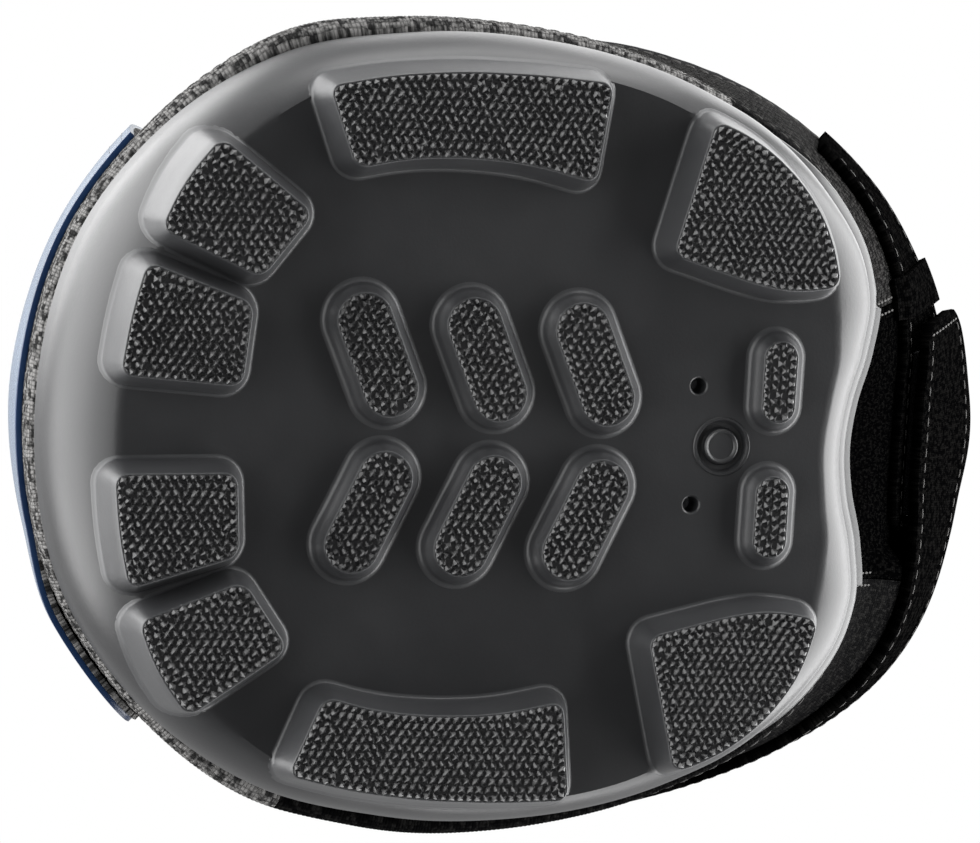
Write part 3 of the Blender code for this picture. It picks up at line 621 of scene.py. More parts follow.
def stud_places(points, chance):
    """A row along the outline, then a grid whose places push each other to an even distance."""
    row = [point - way * EDGE_ROW for point, way in zip(points, side_ways(points))]
    edge = []
    wanted = STUD_PITCH * chance.random()
    for start, end in zip(row, row[1:] + row[:1]):
        length = (end - start).length
        while wanted <= length:
            place = start.lerp(end, wanted / length)
            if distance_inside(points, place) > EDGE_ROW - 0.00025:
                if all((place - other).length > 0.8 * STUD_PITCH for other in edge):
                    edge.append(place)
            wanted += STUD_PITCH
        wanted -= length
    low = Vector((min(p.x for p in points), min(p.y for p in points)))
    high = Vector((max(p.x for p in points), max(p.y for p in points)))
    inner = []
    for line in range(math.ceil((high.x - low.x) / (STUD_PITCH * 0.87))):
        for cell in range(math.ceil((high.y - low.y) / STUD_PITCH) + 1):
            place = low + Vector((line * 0.87, cell + (line % 2) / 2)) * STUD_PITCH
            place += Vector((chance.uniform(-1, 1), chance.uniform(-1, 1))) * 0.00030
            if distance_inside(points, place) > EDGE_ROW + 0.62 * STUD_PITCH:
                inner.append(place)
    for _ in range(RELAX_ROUNDS):
        tree = KDTree(len(edge) + len(inner))
        for number, place in enumerate(edge + inner):
            tree.insert((*place, 0), number)
        tree.balance()
        moved = []
        for number, place in enumerate(inner, len(edge)):
            push = Vector((0, 0))
            for near, other, distance in tree.find_range((*place, 0), RELAX_REACH):
                if other != number and distance > 0:
                    push += (place - near.to_2d()) / distance * (RELAX_REACH - distance)
            moved.append(place + push * RELAX_PUSH)
        inner = moved
    return edge + [place for place in inner if distance_inside(points, place) > EDGE_ROW + 0.4 * STUD_PITCH]


stud_data = bmesh.new()
stud_chance = random.Random(7)
for points, level in face_outlines:
    for place in stud_places(points, stud_chance):
        radius = STUD_RADIUS * stud_chance.uniform(0.92, 1.06)
        turned = Matrix.Translation((*place, level - STUD_HEIGHT / 2 + STUD_SINK)) @ Matrix.Rotation(
            stud_chance.uniform(-0.35, 0.35) + math.pi / 4, 4, "Z")
        bmesh.ops.create_cone(
            stud_data, cap_ends=True, segments=4, radius1=STUD_TIP, radius2=radius, depth=STUD_HEIGHT, matrix=turned)
new_piece("tread_studs", stud_data, stud_rubber_painted_shade, "boot", "outsole", "rubber", smooth=30)

# Insole
# A cut foam pad with a knitted cover, laid loose on the floor of the cup inside the lining.
INSOLE_POINTS = 252
INSOLE_INSET = 0.0103
INSOLE_LOW = 0.0143
INSOLE_HIGH = 0.0193
INSOLE_EDGE = (
    (0, INSOLE_LOW + 0.0004), (0, INSOLE_HIGH - 0.0012), (0.0004, INSOLE_HIGH - 0.0004), (0.0012, INSOLE_HIGH),
    (0.0040, INSOLE_HIGH), (0.0046, INSOLE_HIGH - 0.0006), (0.0052, INSOLE_HIGH),
)
INSOLE_PARTS = (0.86, 0.852, 0.844, 0.66, 0.652, 0.644, 0.46, 0.452, 0.444, 0.24, 0.06)
INSOLE_GROOVES = (0.852, 0.652, 0.452)
INSOLE_GROOVE = 0.0007
insole_foam = surface("insole_foam", patches,
    dark=(0.040, 0.041, 0.045), light=(0.085, 0.087, 0.094), patch=60, grain=1100, smooth=0.85, rough=0.98,
    relief=0.0004, bump=0.6, sheen=0.1, specular=0.2)


def make_insole():
    bm = bmesh.new()
    columns = [COLUMNS * index / INSOLE_POINTS for index in range(INSOLE_POINTS)]
    ring = bmesh.ops.create_circle(bm, segments=len(columns), radius=RIM_HALF_WIDTH)["verts"]
    bm.faces.new(ring)
    for column, vertex in zip(columns, ring):
        vertex.co = sole_place(column, INSOLE_INSET + 0.0004, INSOLE_LOW)
    ring = sole_rings(bm, ring, columns, [
        lambda column, inset=inset, level=level: (INSOLE_INSET + inset, level) for inset, level in INSOLE_EDGE])
    edge = [vertex.co.copy() for vertex in ring]
    middle = Vector((*SOLE_MIDDLE, 0))
    for part in INSOLE_PARTS:
        groove = INSOLE_GROOVE if part in INSOLE_GROOVES else 0
        ring = next_ring(bm, ring, lambda index: (
            middle.x + (edge[index].x - middle.x) * part, middle.y + (edge[index].y - middle.y) * part,
            INSOLE_HIGH - groove))
    bm.faces.new(ring)
    piece = new_piece("insole", bm, insole_foam, "boot", "insole_pad", "insole_foam", smooth=50)


make_insole()

# Upper shell
# Ballistic weave sewn in four panels: a quarter on each side, the right one speckled, a low toe
# panel and a heel panel that leans back. All are tucked into the cup and step out over its lip.
TOP_SHARES = (
    (0, -1), (0.295, -0.925), (0.535, -0.775), (0.735, -0.570), (0.895, -0.26), (0.975, 0.03), (1.01, 0.19),
    (1.01, 0.38), (0.94, 0.56), (0.825, 0.705), (0.655, 0.83), (0.46, 0.915), (0.28, 0.965),
    (0.12, 0.99), (0, 1),
)
TOP_LEVEL = 0.0950
TOP_HALF_WIDTH = 0.0755
TOP_TOE_REACH = 0.0665
TOP_HEEL_REACH = 0.1275
TOP_LEAN = 0.0014
HEEL_BULGE = 0.0015
TOE_BULGE = 0.0038
STRAP_SWELL = 0.0055
SWELL_COLUMN = 55.5
SWELL_COLUMNS = 10
SHELL_THICKNESS = 0.0018
SHELL_OVERHANG = 0.0006
TOE_DRAW_IN = 0.0035
SHELL_STEP_OUT = 0.0062
SHELL_LOW = 0.0206
FRONT_TOP = 0.1100
HEEL_TOP = 0.0920
SIDE_DIP = 0.0040
TOE_PANEL_TOP = 0.0620
GAP = 0.0003
PADDING = 0.0044
PADDING_TO_ROOT = (-59, -51)
PADDING_FROM_END = (48.3, 49.6)
PADDING_FOOT = (0.048, 0.060)
PADDING_HEAD = (-0.0925, -0.086)
LEAN_SPAN = (-0.50, 0.10)
FRONT_EDGE = 4
HEEL_EDGE = 34
COLUMN_LENGTH = sum((rim_point(number + 1) - rim_point(number)).length for number in range(COLUMNS)) / COLUMNS
SEAM = GAP / 2 / COLUMN_LENGTH


@functools.cache
def top_point(column):
    """Like the rim, but leaning towards the strap's sewn side and fuller under the strap there."""
    place = loop_point(TOP_SHARES, TOP_HALF_WIDTH, TOP_TOE_REACH, TOP_HEEL_REACH, column)
    lean = TOP_LEAN * share(place.y / TOP_HEEL_REACH, *LEAN_SPAN)
    swell = STRAP_SWELL * share(-abs(column % COLUMNS - SWELL_COLUMN), -SWELL_COLUMNS, 0)
    return place + place.normalized() * swell - Vector((lean, 0))


@functools.cache
def toe_share(column):
    """1 round the toe, where the upper is drawn in over the rim and bulges above it."""
    return share(-rim_point(column).y / RIM_TOE_REACH, *END_SPAN)


def lip_height(column):
    return rim_height(column) + LIP_RISE


def shell_start(column):
    """Height where the shell has stepped out over the lip."""
    return lip_height(column) + SHELL_STEP_OUT + GAP


def top_height(column):
    """Falls from the front to the heel, with a slight dip along the sides."""
    along = (top_point(column).y + TOP_TOE_REACH) / (TOP_TOE_REACH + TOP_HEEL_REACH)
    return FRONT_TOP + (HEEL_TOP - FRONT_TOP) * along - SIDE_DIP * math.sin(math.pi * along)


def on_upper(column, height, depth, hang=False):
    """Point of the upper: depth 0 is the shell's inner face, positive is outwards."""
    start = shell_start(column)
    out = 1 if hang else share(height, lip_height(column) + GAP, start)
    overhang = SHELL_OVERHANG - TOE_DRAW_IN * toe_share(column)
    inset = -(CUP_WALL + GAP + SHELL_THICKNESS) * (1 - out) + overhang * out
    low_normal = outward(rim_point, column)
    low = rim_point(column) + low_normal * inset
    low.x -= TOP_LEAN * out * share(low.y / RIM_HEEL_REACH, *LEAN_SPAN)
    rise = max((height - start) / (TOP_LEVEL - start), 0)
    blend = min(rise, 1)
    normal = (low_normal * (1 - blend) + outward(top_point, column) * blend).normalized()
    bulge = (HEEL_BULGE * heel_share(column) + TOE_BULGE * toe_share(column)) * math.sin(math.pi * blend)
    plan = low * (1 - rise) + top_point(column) * rise + normal * (depth + bulge) + SOLE_MIDDLE
    return Vector((*plan, height))


def make_threads():
    """Plain weave on the cloth's own map in metres: threads that pass over and under each other."""
    number, colour = "NodeSocketFloat", "NodeSocketColor"
    tree, given, result = new_group(
        "woven_threads",
        {"dark": (colour, (0, 0, 0, 1)), "light": (colour, (1, 1, 1, 1)), "speckle": (number, 0.3),
         "across": (number, 1300), "along": (number, 1300), "smooth": (number, 0.7),
         "rough": (number, 0.95)},
        {"Color": colour, "Roughness": number, "Height": number})
    node, maths = functools.partial(place_node, tree), functools.partial(sum_of, tree)
    place = node("UVMap", uv_map="cloth").outputs[0]
    split = node("SeparateXYZ", {"Vector": place}).outputs
    bend = node("TexNoise", {"Vector": place, "Scale": 260, "Detail": 2}).outputs[0]
    across = maths("MULTIPLY_ADD", split[0], given["across"], maths("MULTIPLY", bend, 1.1))
    along = maths("MULTIPLY_ADD", split[1], given["along"], maths("MULTIPLY", bend, 1.1))
    cells = [maths("FLOOR", value) for value in (across, along)]
    arches = []
    for value in (across, along):
        inner = maths("FRACT", value)
        arches.append(maths("SINE", maths("MULTIPLY", inner, math.pi)))
    over = maths("FLOORED_MODULO", maths("ADD", *cells), 2)
    heights = []
    for side, other in (arches, arches[::-1]):
        float_arch = maths("MULTIPLY_ADD", other, 0.55, 0.45)
        heights.append(maths("MULTIPLY", maths("SQRT", side), float_arch))
    height = node("Mix", {0: over, 2: heights[0], 3: heights[1]}).outputs[0]
    cell = node("CombineXYZ", {0: cells[0], 1: cells[1]}).outputs[0]
    chance = node("TexWhiteNoise", {"Vector": cell}, noise_dimensions="2D").outputs[0]
    cloud = node("TexNoise", {
        "Vector": place, "Scale": maths("MULTIPLY", given["across"], 0.45), "Detail": 3}).outputs[0]
    limit = maths("MULTIPLY_ADD", cloud, 2.4, maths("SUBTRACT", given["speckle"], 1.2))
    light = node("MapRange", {
        "Value": maths("SUBTRACT", limit, maths("MULTIPLY", chance, 0.6)),
        "From Min": -0.15, "From Max": 0.35}).outputs[0]
    fibre = node("TexNoise", {"Vector": place, "Scale": 5200, "Detail": 2}).outputs[0]
    tone = maths("MULTIPLY", light, maths("MULTIPLY_ADD", fibre, 0.6, 0.5))
    mixed = node("Mix", {0: tone, 6: given["dark"], 7: given["light"]}, data_type="RGBA")
    # The colour is darkened where the threads dip under each other: painted shade between the threads.
    depth = maths("MULTIPLY_ADD", height, 0.65, 0.35)
    shaded = node("VectorMath", {0: mixed.outputs[2], "Scale": depth}, operation="SCALE")
    tree.links.new(shaded.outputs[0], result.inputs["Color"])
    rough = node("MapRange", {
        "Value": fibre, "To Min": given["smooth"], "To Max": given["rough"]}).outputs[0]
    tree.links.new(rough, result.inputs["Roughness"])
    tree.links.new(maths("MULTIPLY_ADD", fibre, 0.25, height), result.inputs["Height"])
    return tree


threads = make_threads()
black_weave = surface("black_ballistic_weave", threads,
    dark=(0.0012, 0.0012, 0.0014), light=(0.012, 0.0117, 0.0113), speckle=0.22, across=1600, along=1600,
    relief=0.00022, bump=0.6, specular=0.01)
# The heel panel's cloth is black, and is made darker still to stand in for the shade behind the heel: partly painted
# shade.
heel_cloth_painted_shade = surface("heel_cloth_painted_shade", threads,
    dark=(0.0005, 0.0005, 0.0006), light=(0.0045, 0.0044, 0.0042), speckle=0.22, across=1600, along=1600,
    relief=0.00022, bump=0.6, specular=0)


def finish_cloth(piece, thickness, rounding=True):
    """Gives a sheet its thickness inwards and takes the sharpness off its edges."""
    wall = piece.modifiers.new("wall", "SOLIDIFY")
    wall.thickness = thickness
    wall.offset = -1
    if rounding:
        edge = piece.modifiers.new("edge", "BEVEL")
        edge.width = thickness * 0.28
        edge.segments = 2
        edge.limit_method = "ANGLE"
        edge.angle_limit = math.radians(55)
    return piece


def declare_sheet(columns, heights, depth, hang=False):
    """Works out the length along the upper and the greatest height of a stretched sheet from a coarse net of places
    on it, but keeps and declares neither."""
    start, end = columns
    net = []
    for across in range(41):
        column = start + (end - start) * across / 40
        low, high = heights(column)
        net.append([on_upper(column, low + (high - low) * up / 8, depth(column), hang) for up in range(9)])
    lengths = [sum((after[up] - before[up]).length for before, after in zip(net, net[1:])) for up in range(9)]
    widths = [sum((after - before).length for before, after in zip(row, row[1:])) for row in net]
    length, width = max(lengths), max(widths)
    if width < 0.01:
        return


def cloth_on_upper(name, columns, heights, outer, thickness, material, body, node, slot,
                   steps, hang=False, relief=None, closed=False):
    """A fine grid of cloth laid on the upper, with a map of itself in metres.

    heights gives the lower and upper edge at a column, outer the depth of the outer face, and
    relief a small extra depth at a place on the map."""
    start, end = columns
    bm = bmesh.new()
    bmesh.ops.create_grid(bm, x_segments=steps[0], y_segments=steps[1], size=0.5)
    cloth_map = bm.loops.layers.uv.new("cloth")
    length = abs(end - start) * COLUMN_LENGTH * 1.08
    for face in bm.faces:
        for loop in face.loops:
            column = start + (end - start) * (loop.vert.co.x + 0.5)
            low, high = heights(column)
            loop[cloth_map].uv = ((loop.vert.co.x + 0.5) * length, low + (high - low) * (loop.vert.co.y + 0.5))
    for vertex in bm.verts:
        part = vertex.co.x + 0.5
        column = start + (end - start) * part
        low, high = heights(column)
        height = low + (high - low) * (vertex.co.y + 0.5)
        depth = outer(column) if callable(outer) else outer
        if relief:
            depth += relief(part * length, height, column)
        vertex.co = on_upper(column, height, depth, hang)
    if closed:
        bmesh.ops.remove_doubles(bm, verts=bm.verts, dist=0.00001)
    if end < start:
        bmesh.ops.reverse_faces(bm, faces=bm.faces)
    piece = dress(new_object(name, bm), material, body, node, slot)
    declare_sheet(columns, heights, outer if callable(outer) else lambda column: outer, hang)
    return finish_cloth(piece, thickness, rounding=relief is None)


def shell_edges(column):
    return SHELL_LOW, top_height(column)


def strap_padding(along, up, column):
    """The shell swells up to the outer strap, where that crosses from the strap beneath to its root."""
    column %= COLUMNS
    room = PADDING * share(-column, *PADDING_TO_ROOT) * share(column, *PADDING_FROM_END)
    return room * share(up, *PADDING_FOOT) * share(-up, *PADDING_HEAD)


speckled_weave = surface("speckled_weave", threads,
    dark=(0.002, 0.002, 0.002), light=(0.038, 0.037, 0.036), speckle=0.33, across=1300, along=1200, relief=0.0003,
    bump=0.9, specular=0.01)
cloth_on_upper("right_quarter", (FRONT_EDGE + SEAM, HEEL_EDGE - SEAM), shell_edges, SHELL_THICKNESS,
               SHELL_THICKNESS, speckled_weave, "boot", "quarter_right", "woven_shell", (150, 60))
cloth_on_upper("left_quarter", (-HEEL_EDGE + SEAM, -FRONT_EDGE - SEAM), shell_edges, SHELL_THICKNESS,
               SHELL_THICKNESS, black_weave, "boot", "quarter_left", "woven_shell", (150, 60),
               relief=strap_padding)
cloth_on_upper("toe_front", (-FRONT_EDGE + SEAM, FRONT_EDGE - SEAM), lambda column: (SHELL_LOW, TOE_PANEL_TOP),
               SHELL_THICKNESS, SHELL_THICKNESS, black_weave, "boot", "toe_panel", "woven_shell", (40, 36))
cloth_on_upper("heel_back", (HEEL_EDGE + SEAM, 2 * HEEL_COLUMN - HEEL_EDGE - SEAM), shell_edges,
               SHELL_THICKNESS, SHELL_THICKNESS, heel_cloth_painted_shade, "boot", "heel_panel", "black_webbing", (90, 60),
               relief=strap_padding)

# Stiffeners and lining
# Pressed fibre board at the toe and heel inside the shell, and a foam-backed knitted lining that
# runs all round inside them.
LINING_THICKNESS = 0.0030
LINING_OUTER = -0.0016
LINING_FRONT_TOP = 0.0440
LINING_STEP = (5.95, 6.45)
board = surface("fibre_board", patches,
    dark=(0.090, 0.080, 0.068), light=(0.190, 0.175, 0.150), patch=90, grain=1300, smooth=0.65, rough=0.85,
    relief=0.0003, bump=0.5, specular=0.3)
for node in ("toe_stiffener", "heel_counter"):
    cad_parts[node].material_slots[0].material = board
lining_knit = surface("lining_knit", threads,
    dark=(0.030, 0.031, 0.035), light=(0.075, 0.078, 0.086), speckle=0.5, across=900, along=620, relief=0.0004,
    bump=0.8, sheen=0.05, specular=0.08)


def lining_edges(column):
    from_toe = min(column, COLUMNS - column)
    part = share(from_toe, *LINING_STEP)
    return SHELL_LOW, LINING_FRONT_TOP * (1 - part) + top_height(column) * part


cloth_on_upper("lining_sleeve", (0, COLUMNS), lining_edges, LINING_OUTER, LINING_THICKNESS,
               lining_knit, "boot", "lining", "lining_knit", (420, 44), closed=True)

# Edge tape
# Woven tape sewn round the shell's lower edge and folded in over the rim: salt-and-pepper round the
# toe and along the right side, black towards the heel and along the left side.
TAPE_HEIGHT = 0.0075
TAPE_THICKNESS = 0.0012
TAPE_OVERHANG = 0.0038
TAPE_EDGE = 33
TAPE_PITCH = 0.00080
TAPE_FOLD = 0.0038
THREAD_RISE = 0.00020
SPECKLED_COLUMNS = (-13, 25)
grey_weave = surface("salt_and_pepper_weave", threads,
    dark=(0.018, 0.018, 0.018), light=(0.27, 0.265, 0.26), speckle=0.44, across=1500, along=1250, relief=0.0003,
    bump=0.9, specular=0.08)


def thread_relief(along, up, column):
    """Threads of a coarse tape standing out of its face in turn; its lower edge is folded in."""
    folded = min(max(1 - (up - tape_edges(column)[0]) / TAPE_FOLD, 0), 1)
    across = math.floor(along / TAPE_PITCH)
    level = math.floor(up / TAPE_PITCH)
    arches = (math.sin(math.pi * (along / TAPE_PITCH - across)), math.sin(math.pi * (up / TAPE_PITCH - level)))
    first, second = arches if (across + level) % 2 else arches[::-1]
    fold = TAPE_FOLD * (1 - math.sqrt(max(1 - folded ** 2, 0)))
    return THREAD_RISE * math.sqrt(max(first, 0)) * (0.4 + 0.6 * second) - THREAD_RISE / 2 - fold


def tape_edges(column):
    start = shell_start(column) - TAPE_OVERHANG
    return start, start + TAPE_HEIGHT


edge_tape = cloth_on_upper(
    "lower_edge_tape", (-TAPE_EDGE, TAPE_EDGE), tape_edges, SHELL_THICKNESS + GAP + TAPE_THICKNESS,
    TAPE_THICKNESS + GAP, grey_weave, "boot", "edge_tape", "grey_weave", (1700, 24), hang=True,
    relief=thread_relief)
edge_tape.data.materials.append(black_weave)
tape_map = edge_tape.data.uv_layers["cloth"].data
tape_length = max(corner.uv.x for corner in tape_map)
for face in edge_tape.data.polygons:
    column = TAPE_EDGE * (2 * tape_map[face.loop_indices[0]].uv.x / tape_length - 1)
    face.material_index = 0 if SPECKLED_COLUMNS[0] < column < SPECKLED_COLUMNS[1] else 1

# Padded collar
# Three foam-filled tubes of lining cloth sewn to the top edge: one along each side and one round
# the heel.
SHRINK = 0.0003
PRESSURE = 4.0
CLOTH_STEPS = 20
collar_cloth = surface("collar_cloth", patches,
    dark=(0.003, 0.003, 0.0035), light=(0.010, 0.010, 0.011), patch=120, grain=1700, smooth=0.80, rough=0.95,
    relief=0.00035, bump=0.8, sheen=0.02, specular=0.05)


def applied(piece):
    """The mesh of a piece with its modifiers worked in, which are then removed."""
    view = bpy.context.evaluated_depsgraph_get()
    mesh = bpy.data.meshes.new_from_object(piece.evaluated_get(view))
    piece.modifiers.clear()
    return mesh


def swollen(name, node, voxel, cap, material, slot, body):
    """A padded piece from a CAD node: remeshed, blown up by a cloth simulation, and capped."""
    bm = bmesh.new()
    bm.from_mesh(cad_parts[node].data)
    bmesh.ops.remove_doubles(bm, verts=bm.verts, dist=0.00001)
    bm.normal_update()
    for vertex in bm.verts:
        vertex.co -= vertex.normal * SHRINK
    piece = new_object(name, bm)
    grid = piece.modifiers.new("grid", "REMESH")
    grid.mode = "VOXEL"
    grid.voxel_size = voxel
    piece.data = applied(piece)
    start = [vertex.co.copy() for vertex in piece.data.vertices]
    cloth = piece.modifiers.new("cloth", "CLOTH")
    cloth.settings.quality = 6
    cloth.settings.mass = 0.2
    cloth.settings.use_pressure = True
    cloth.settings.uniform_pressure_force = PRESSURE
    cloth.settings.effector_weights.gravity = 0
    cloth.collision_settings.use_collision = False
    scene = bpy.context.scene
    for number in range(1, CLOTH_STEPS + 1):
        scene.frame_set(number)
    blown = applied(piece)
    for vertex, place in zip(blown.vertices, start):
        move = vertex.co - place
        if move.length > cap:
            vertex.co = place + move.normalized() * cap
    piece.data = blown
    scene.frame_set(1)
    piece.data.materials.clear()
    piece.data.shade_smooth()
    finer = piece.modifiers.new("finer", "SUBSURF")
    finer.levels = 1
    finer.render_levels = 1
    dress(piece, material, body, node, slot)


for node in ("collar_right", "collar_left", "heel_collar"):
    swollen(f"padded_{node}", node, 0.0015, 0.0012, collar_cloth, "collar_padding", "boot")

# Tongue
# A black woven tongue behind the front flap with a quilted pad on its inner side.
TONGUE_EDGE = 5.5
TONGUE_BASE = 0.051
TONGUE_TOP = 0.124
TONGUE_THICKNESS = 0.0026
TONGUE_CLEARANCE = 0.0006
TONGUE_CORNER = 0.014


def narrowing(column, end, corner):
    """How far a strap's edge draws in at a column because of its rounded corner."""
    distance = abs(end - column) * COLUMN_LENGTH
    if distance >= corner:
        return 0
    return corner - math.sqrt(max(corner ** 2 - (corner - distance) ** 2, 0))


def tongue_edges(column):
    edge = TONGUE_EDGE if column > 0 else -TONGUE_EDGE
    return TONGUE_BASE, TONGUE_TOP - narrowing(column, edge, TONGUE_CORNER)


cloth_on_upper("tongue_cloth", (-TONGUE_EDGE, TONGUE_EDGE), tongue_edges, -TONGUE_CLEARANCE, TONGUE_THICKNESS,
               black_weave, "tongue", "tongue", "black_webbing", (70, 60))
swollen("tongue_cushion", "tongue_pad", 0.0018, 0.0014, collar_cloth, "collar_padding", "tongue")

# Front flap
# The closing across the front: a doubled salt-and-pepper weave with a smooth blue facing bonded to
# its outer side, sewn down on one side and held by hook tape on the other.
FLAP_LOW = 0.0450
FLAP_HIGH = 0.0920
FLAP_TAPER = 0.0120
FLAP_THICKNESS = 0.0012
FLAP_CORNER = 0.0080
FACING_THICKNESS = 0.0008
FACING_MARGIN = 0.0006
NAVY_BELOW = 0.0003
NAVY_ABOVE = 0.0008
NAVY_PROUD = 0.0001
FLAP_ROOT = 7.6
FLAP_END = -9
FLAP_HOOK_END = -6
LOOP_THICKNESS = 0.0006
HOOK_THICKNESS = 0.0005
TAPE_MARGIN = 0.006
# The facing's pale blue is its blue lightened towards the highlight on its lit face: partly painted highlight.
blue_with_painted_highlight = surface("blue_facing", patches,
    dark=(0.145, 0.185, 0.250), light=(0.160, 0.200, 0.265), patch=70, grain=2400, smooth=0.20, rough=0.24,
    relief=0.00003, bump=0.1, specular=0.6)
# The navy is a darker copy of the facing's blue, standing in for its lower edge in shade: painted shade.
navy_with_painted_shade = surface("navy_shaded_edge", patches,
    dark=(0.004, 0.018, 0.060), light=(0.006, 0.028, 0.085), patch=70, grain=2400, smooth=0.28, rough=0.40,
    relief=0.00005, bump=0.2, specular=0.4)
hook_pile = surface("hook_and_loop_pile", patches,
    dark=(0.004, 0.004, 0.0045), light=(0.018, 0.018, 0.020), patch=400, grain=2600, smooth=0.85, rough=0.98,
    relief=0.0007, bump=1.0, specular=0.15)


def flap_depth(column):
    """Inner face of the flap: close to the shell, further out over its hook and loop tapes."""
    close = SHELL_THICKNESS + GAP
    over = close + LOOP_THICKNESS + HOOK_THICKNESS + 2 * GAP
    return close + (over - close) * share(-column, 3, 5.8)


def flap_high(column):
    return FLAP_HIGH - FLAP_TAPER * share(-column, -2, 9)


def flap_edges(column):
    draw = narrowing(column, FLAP_END, FLAP_CORNER)
    return FLAP_LOW + draw, flap_high(column) - draw


facing_end = FLAP_END + FACING_MARGIN / COLUMN_LENGTH


def facing_edges(column):
    draw = narrowing(column, facing_end, FLAP_CORNER) + FACING_MARGIN
    return FLAP_LOW + draw, flap_high(column) - draw


def facing_outer(column):
    return flap_depth(column) + FLAP_THICKNESS + GAP + FACING_THICKNESS


cloth_on_upper("flap_weave", (FLAP_END, FLAP_ROOT), flap_edges, lambda column: flap_depth(column) + FLAP_THICKNESS,
               FLAP_THICKNESS, grey_weave, "front_flap", "front_flap", "grey_weave", (170, 48))
cloth_on_upper("flap_facing", (facing_end, FLAP_ROOT), facing_edges, facing_outer, FACING_THICKNESS + GAP,
               blue_with_painted_highlight, "front_flap", "front_flap_facing", "blue_facing", (170, 48))
# A narrow strip of the darker navy copy along the facing's lower edge: painted shade.
cloth_on_upper("flap_navy_edge", (facing_end, FLAP_ROOT), lambda column: (
                   facing_edges(column)[0] - NAVY_BELOW, facing_edges(column)[0] + NAVY_ABOVE),
               lambda column: facing_outer(column) + NAVY_PROUD, FACING_THICKNESS + GAP + NAVY_PROUD,
               navy_with_painted_shade, "front_flap", "front_flap_facing", "blue_facing", (170, 3))


def flap_tape_edges(column):
    return FLAP_LOW + TAPE_MARGIN, flap_high(column) - TAPE_MARGIN


loop_outer = SHELL_THICKNESS + GAP + LOOP_THICKNESS
cloth_on_upper("flap_loop_tape", (-10, FLAP_HOOK_END), flap_tape_edges, loop_outer, LOOP_THICKNESS, hook_pile,
               "boot", "front_loop_tape", "hook_and_loop", (30, 30))
cloth_on_upper("flap_hook_tape", (-8.6, FLAP_HOOK_END), flap_tape_edges, loop_outer + GAP + HOOK_THICKNESS,
               HOOK_THICKNESS, hook_pile, "front_flap", "front_hook_tape", "hook_and_loop", (30, 30))

# Heel straps
# Two black webbing straps with bound edges that close over each other behind the heel: the one
# beneath is sewn on the right, the outer one on the left, and hook and loop tapes join them.
STRAP_LOW = 0.0580
STRAP_HIGH = 0.0880
STRAP_THICKNESS = 0.0020
STRAP_LOOP_THICKNESS = 0.0010
STRAP_HOOK_THICKNESS = 0.0009
STRAP_CORNER = 0.0070
STRAP_TAPE_MARGIN = 0.0035
STRAP_ROOT = 64
STRAP_END = 35.2
BASE_ROOT = 27.7
BASE_END = 48
BINDING_WIDTH = 0.0042
BINDING_RELIEF = 0.0004
strap_webbing = surface("strap_webbing", threads,
    dark=(0.0009, 0.0009, 0.0010), light=(0.0060, 0.0058, 0.0056), speckle=0.30, across=1100, along=1700,
    relief=0.00022, bump=0.7, specular=0)


def strap_depth(column):
    """Inner face of the outer strap: close at its root, further out over the strap beneath."""
    close = SHELL_THICKNESS + GAP
    over = close + STRAP_THICKNESS + STRAP_LOOP_THICKNESS + STRAP_HOOK_THICKNESS + 3 * GAP
    return close + (over - close) * share(-column, -59, -51)


def strap_edges(end):
    def edges(column):
        draw = narrowing(column, end, STRAP_CORNER)
        return STRAP_LOW + draw, STRAP_HIGH - draw
    return edges


def binding(end):
    """The folded tape round a strap's edges stands a little proud of its face."""
    def relief(along, up, column):
        low, high = strap_edges(end)(column)
        edge = min(up - low, high - up, abs(end - column) * COLUMN_LENGTH)
        return BINDING_RELIEF * (1 - share(edge, BINDING_WIDTH - 0.0005, BINDING_WIDTH + 0.0003))
    return relief


cloth_on_upper("outer_strap", (STRAP_END, STRAP_ROOT), strap_edges(STRAP_END),
               lambda column: strap_depth(column) + STRAP_THICKNESS - BINDING_RELIEF, STRAP_THICKNESS,
               strap_webbing, "heel_strap", "heel_strap", "black_webbing", (280, 44), relief=binding(STRAP_END))
base_outer = SHELL_THICKNESS + GAP + STRAP_THICKNESS
cloth_on_upper("inner_strap", (BASE_ROOT, BASE_END), strap_edges(BASE_END), base_outer - BINDING_RELIEF,
               STRAP_THICKNESS, strap_webbing, "boot", "heel_strap_base", "black_webbing", (230, 44),
               relief=binding(BASE_END))


def strap_tape_edges(column):
    return STRAP_LOW + STRAP_TAPE_MARGIN, STRAP_HIGH - STRAP_TAPE_MARGIN


strap_loop_outer = base_outer + GAP + STRAP_LOOP_THICKNESS
cloth_on_upper("strap_loop_tape", (36.5, 47), strap_tape_edges, strap_loop_outer, STRAP_LOOP_THICKNESS, hook_pile,
               "boot", "heel_loop_tape", "hook_and_loop", (60, 24))
cloth_on_upper("strap_hook_tape", (36.5, 47), strap_tape_edges, strap_loop_outer + GAP + STRAP_HOOK_THICKNESS,
               STRAP_HOOK_THICKNESS, hook_pile, "heel_strap", "heel_hook_tape", "hook_and_loop", (60, 24))

# Strap keeper
# A short webbing bridge over the inner strap, sewn to the shell above and below it.
KEEPER_COLUMN = 33.9
KEEPER_WIDTH = 0.011
KEEPER_THICKNESS = 0.0011
KEEPER_PATH = (
    (0.0032, 0.0552), (0.0032, 0.0560), (0.0038, 0.0566), (0.0050, 0.0571), (0.0055, 0.0576), (0.0057, 0.0584),
    (0.0057, 0.0640), (0.0057, 0.0700), (0.0057, 0.0760), (0.0057, 0.0820), (0.0057, 0.0876), (0.0055, 0.0884),
    (0.0050, 0.0889), (0.0038, 0.0894), (0.0032, 0.0900), (0.0032, 0.0908),
)


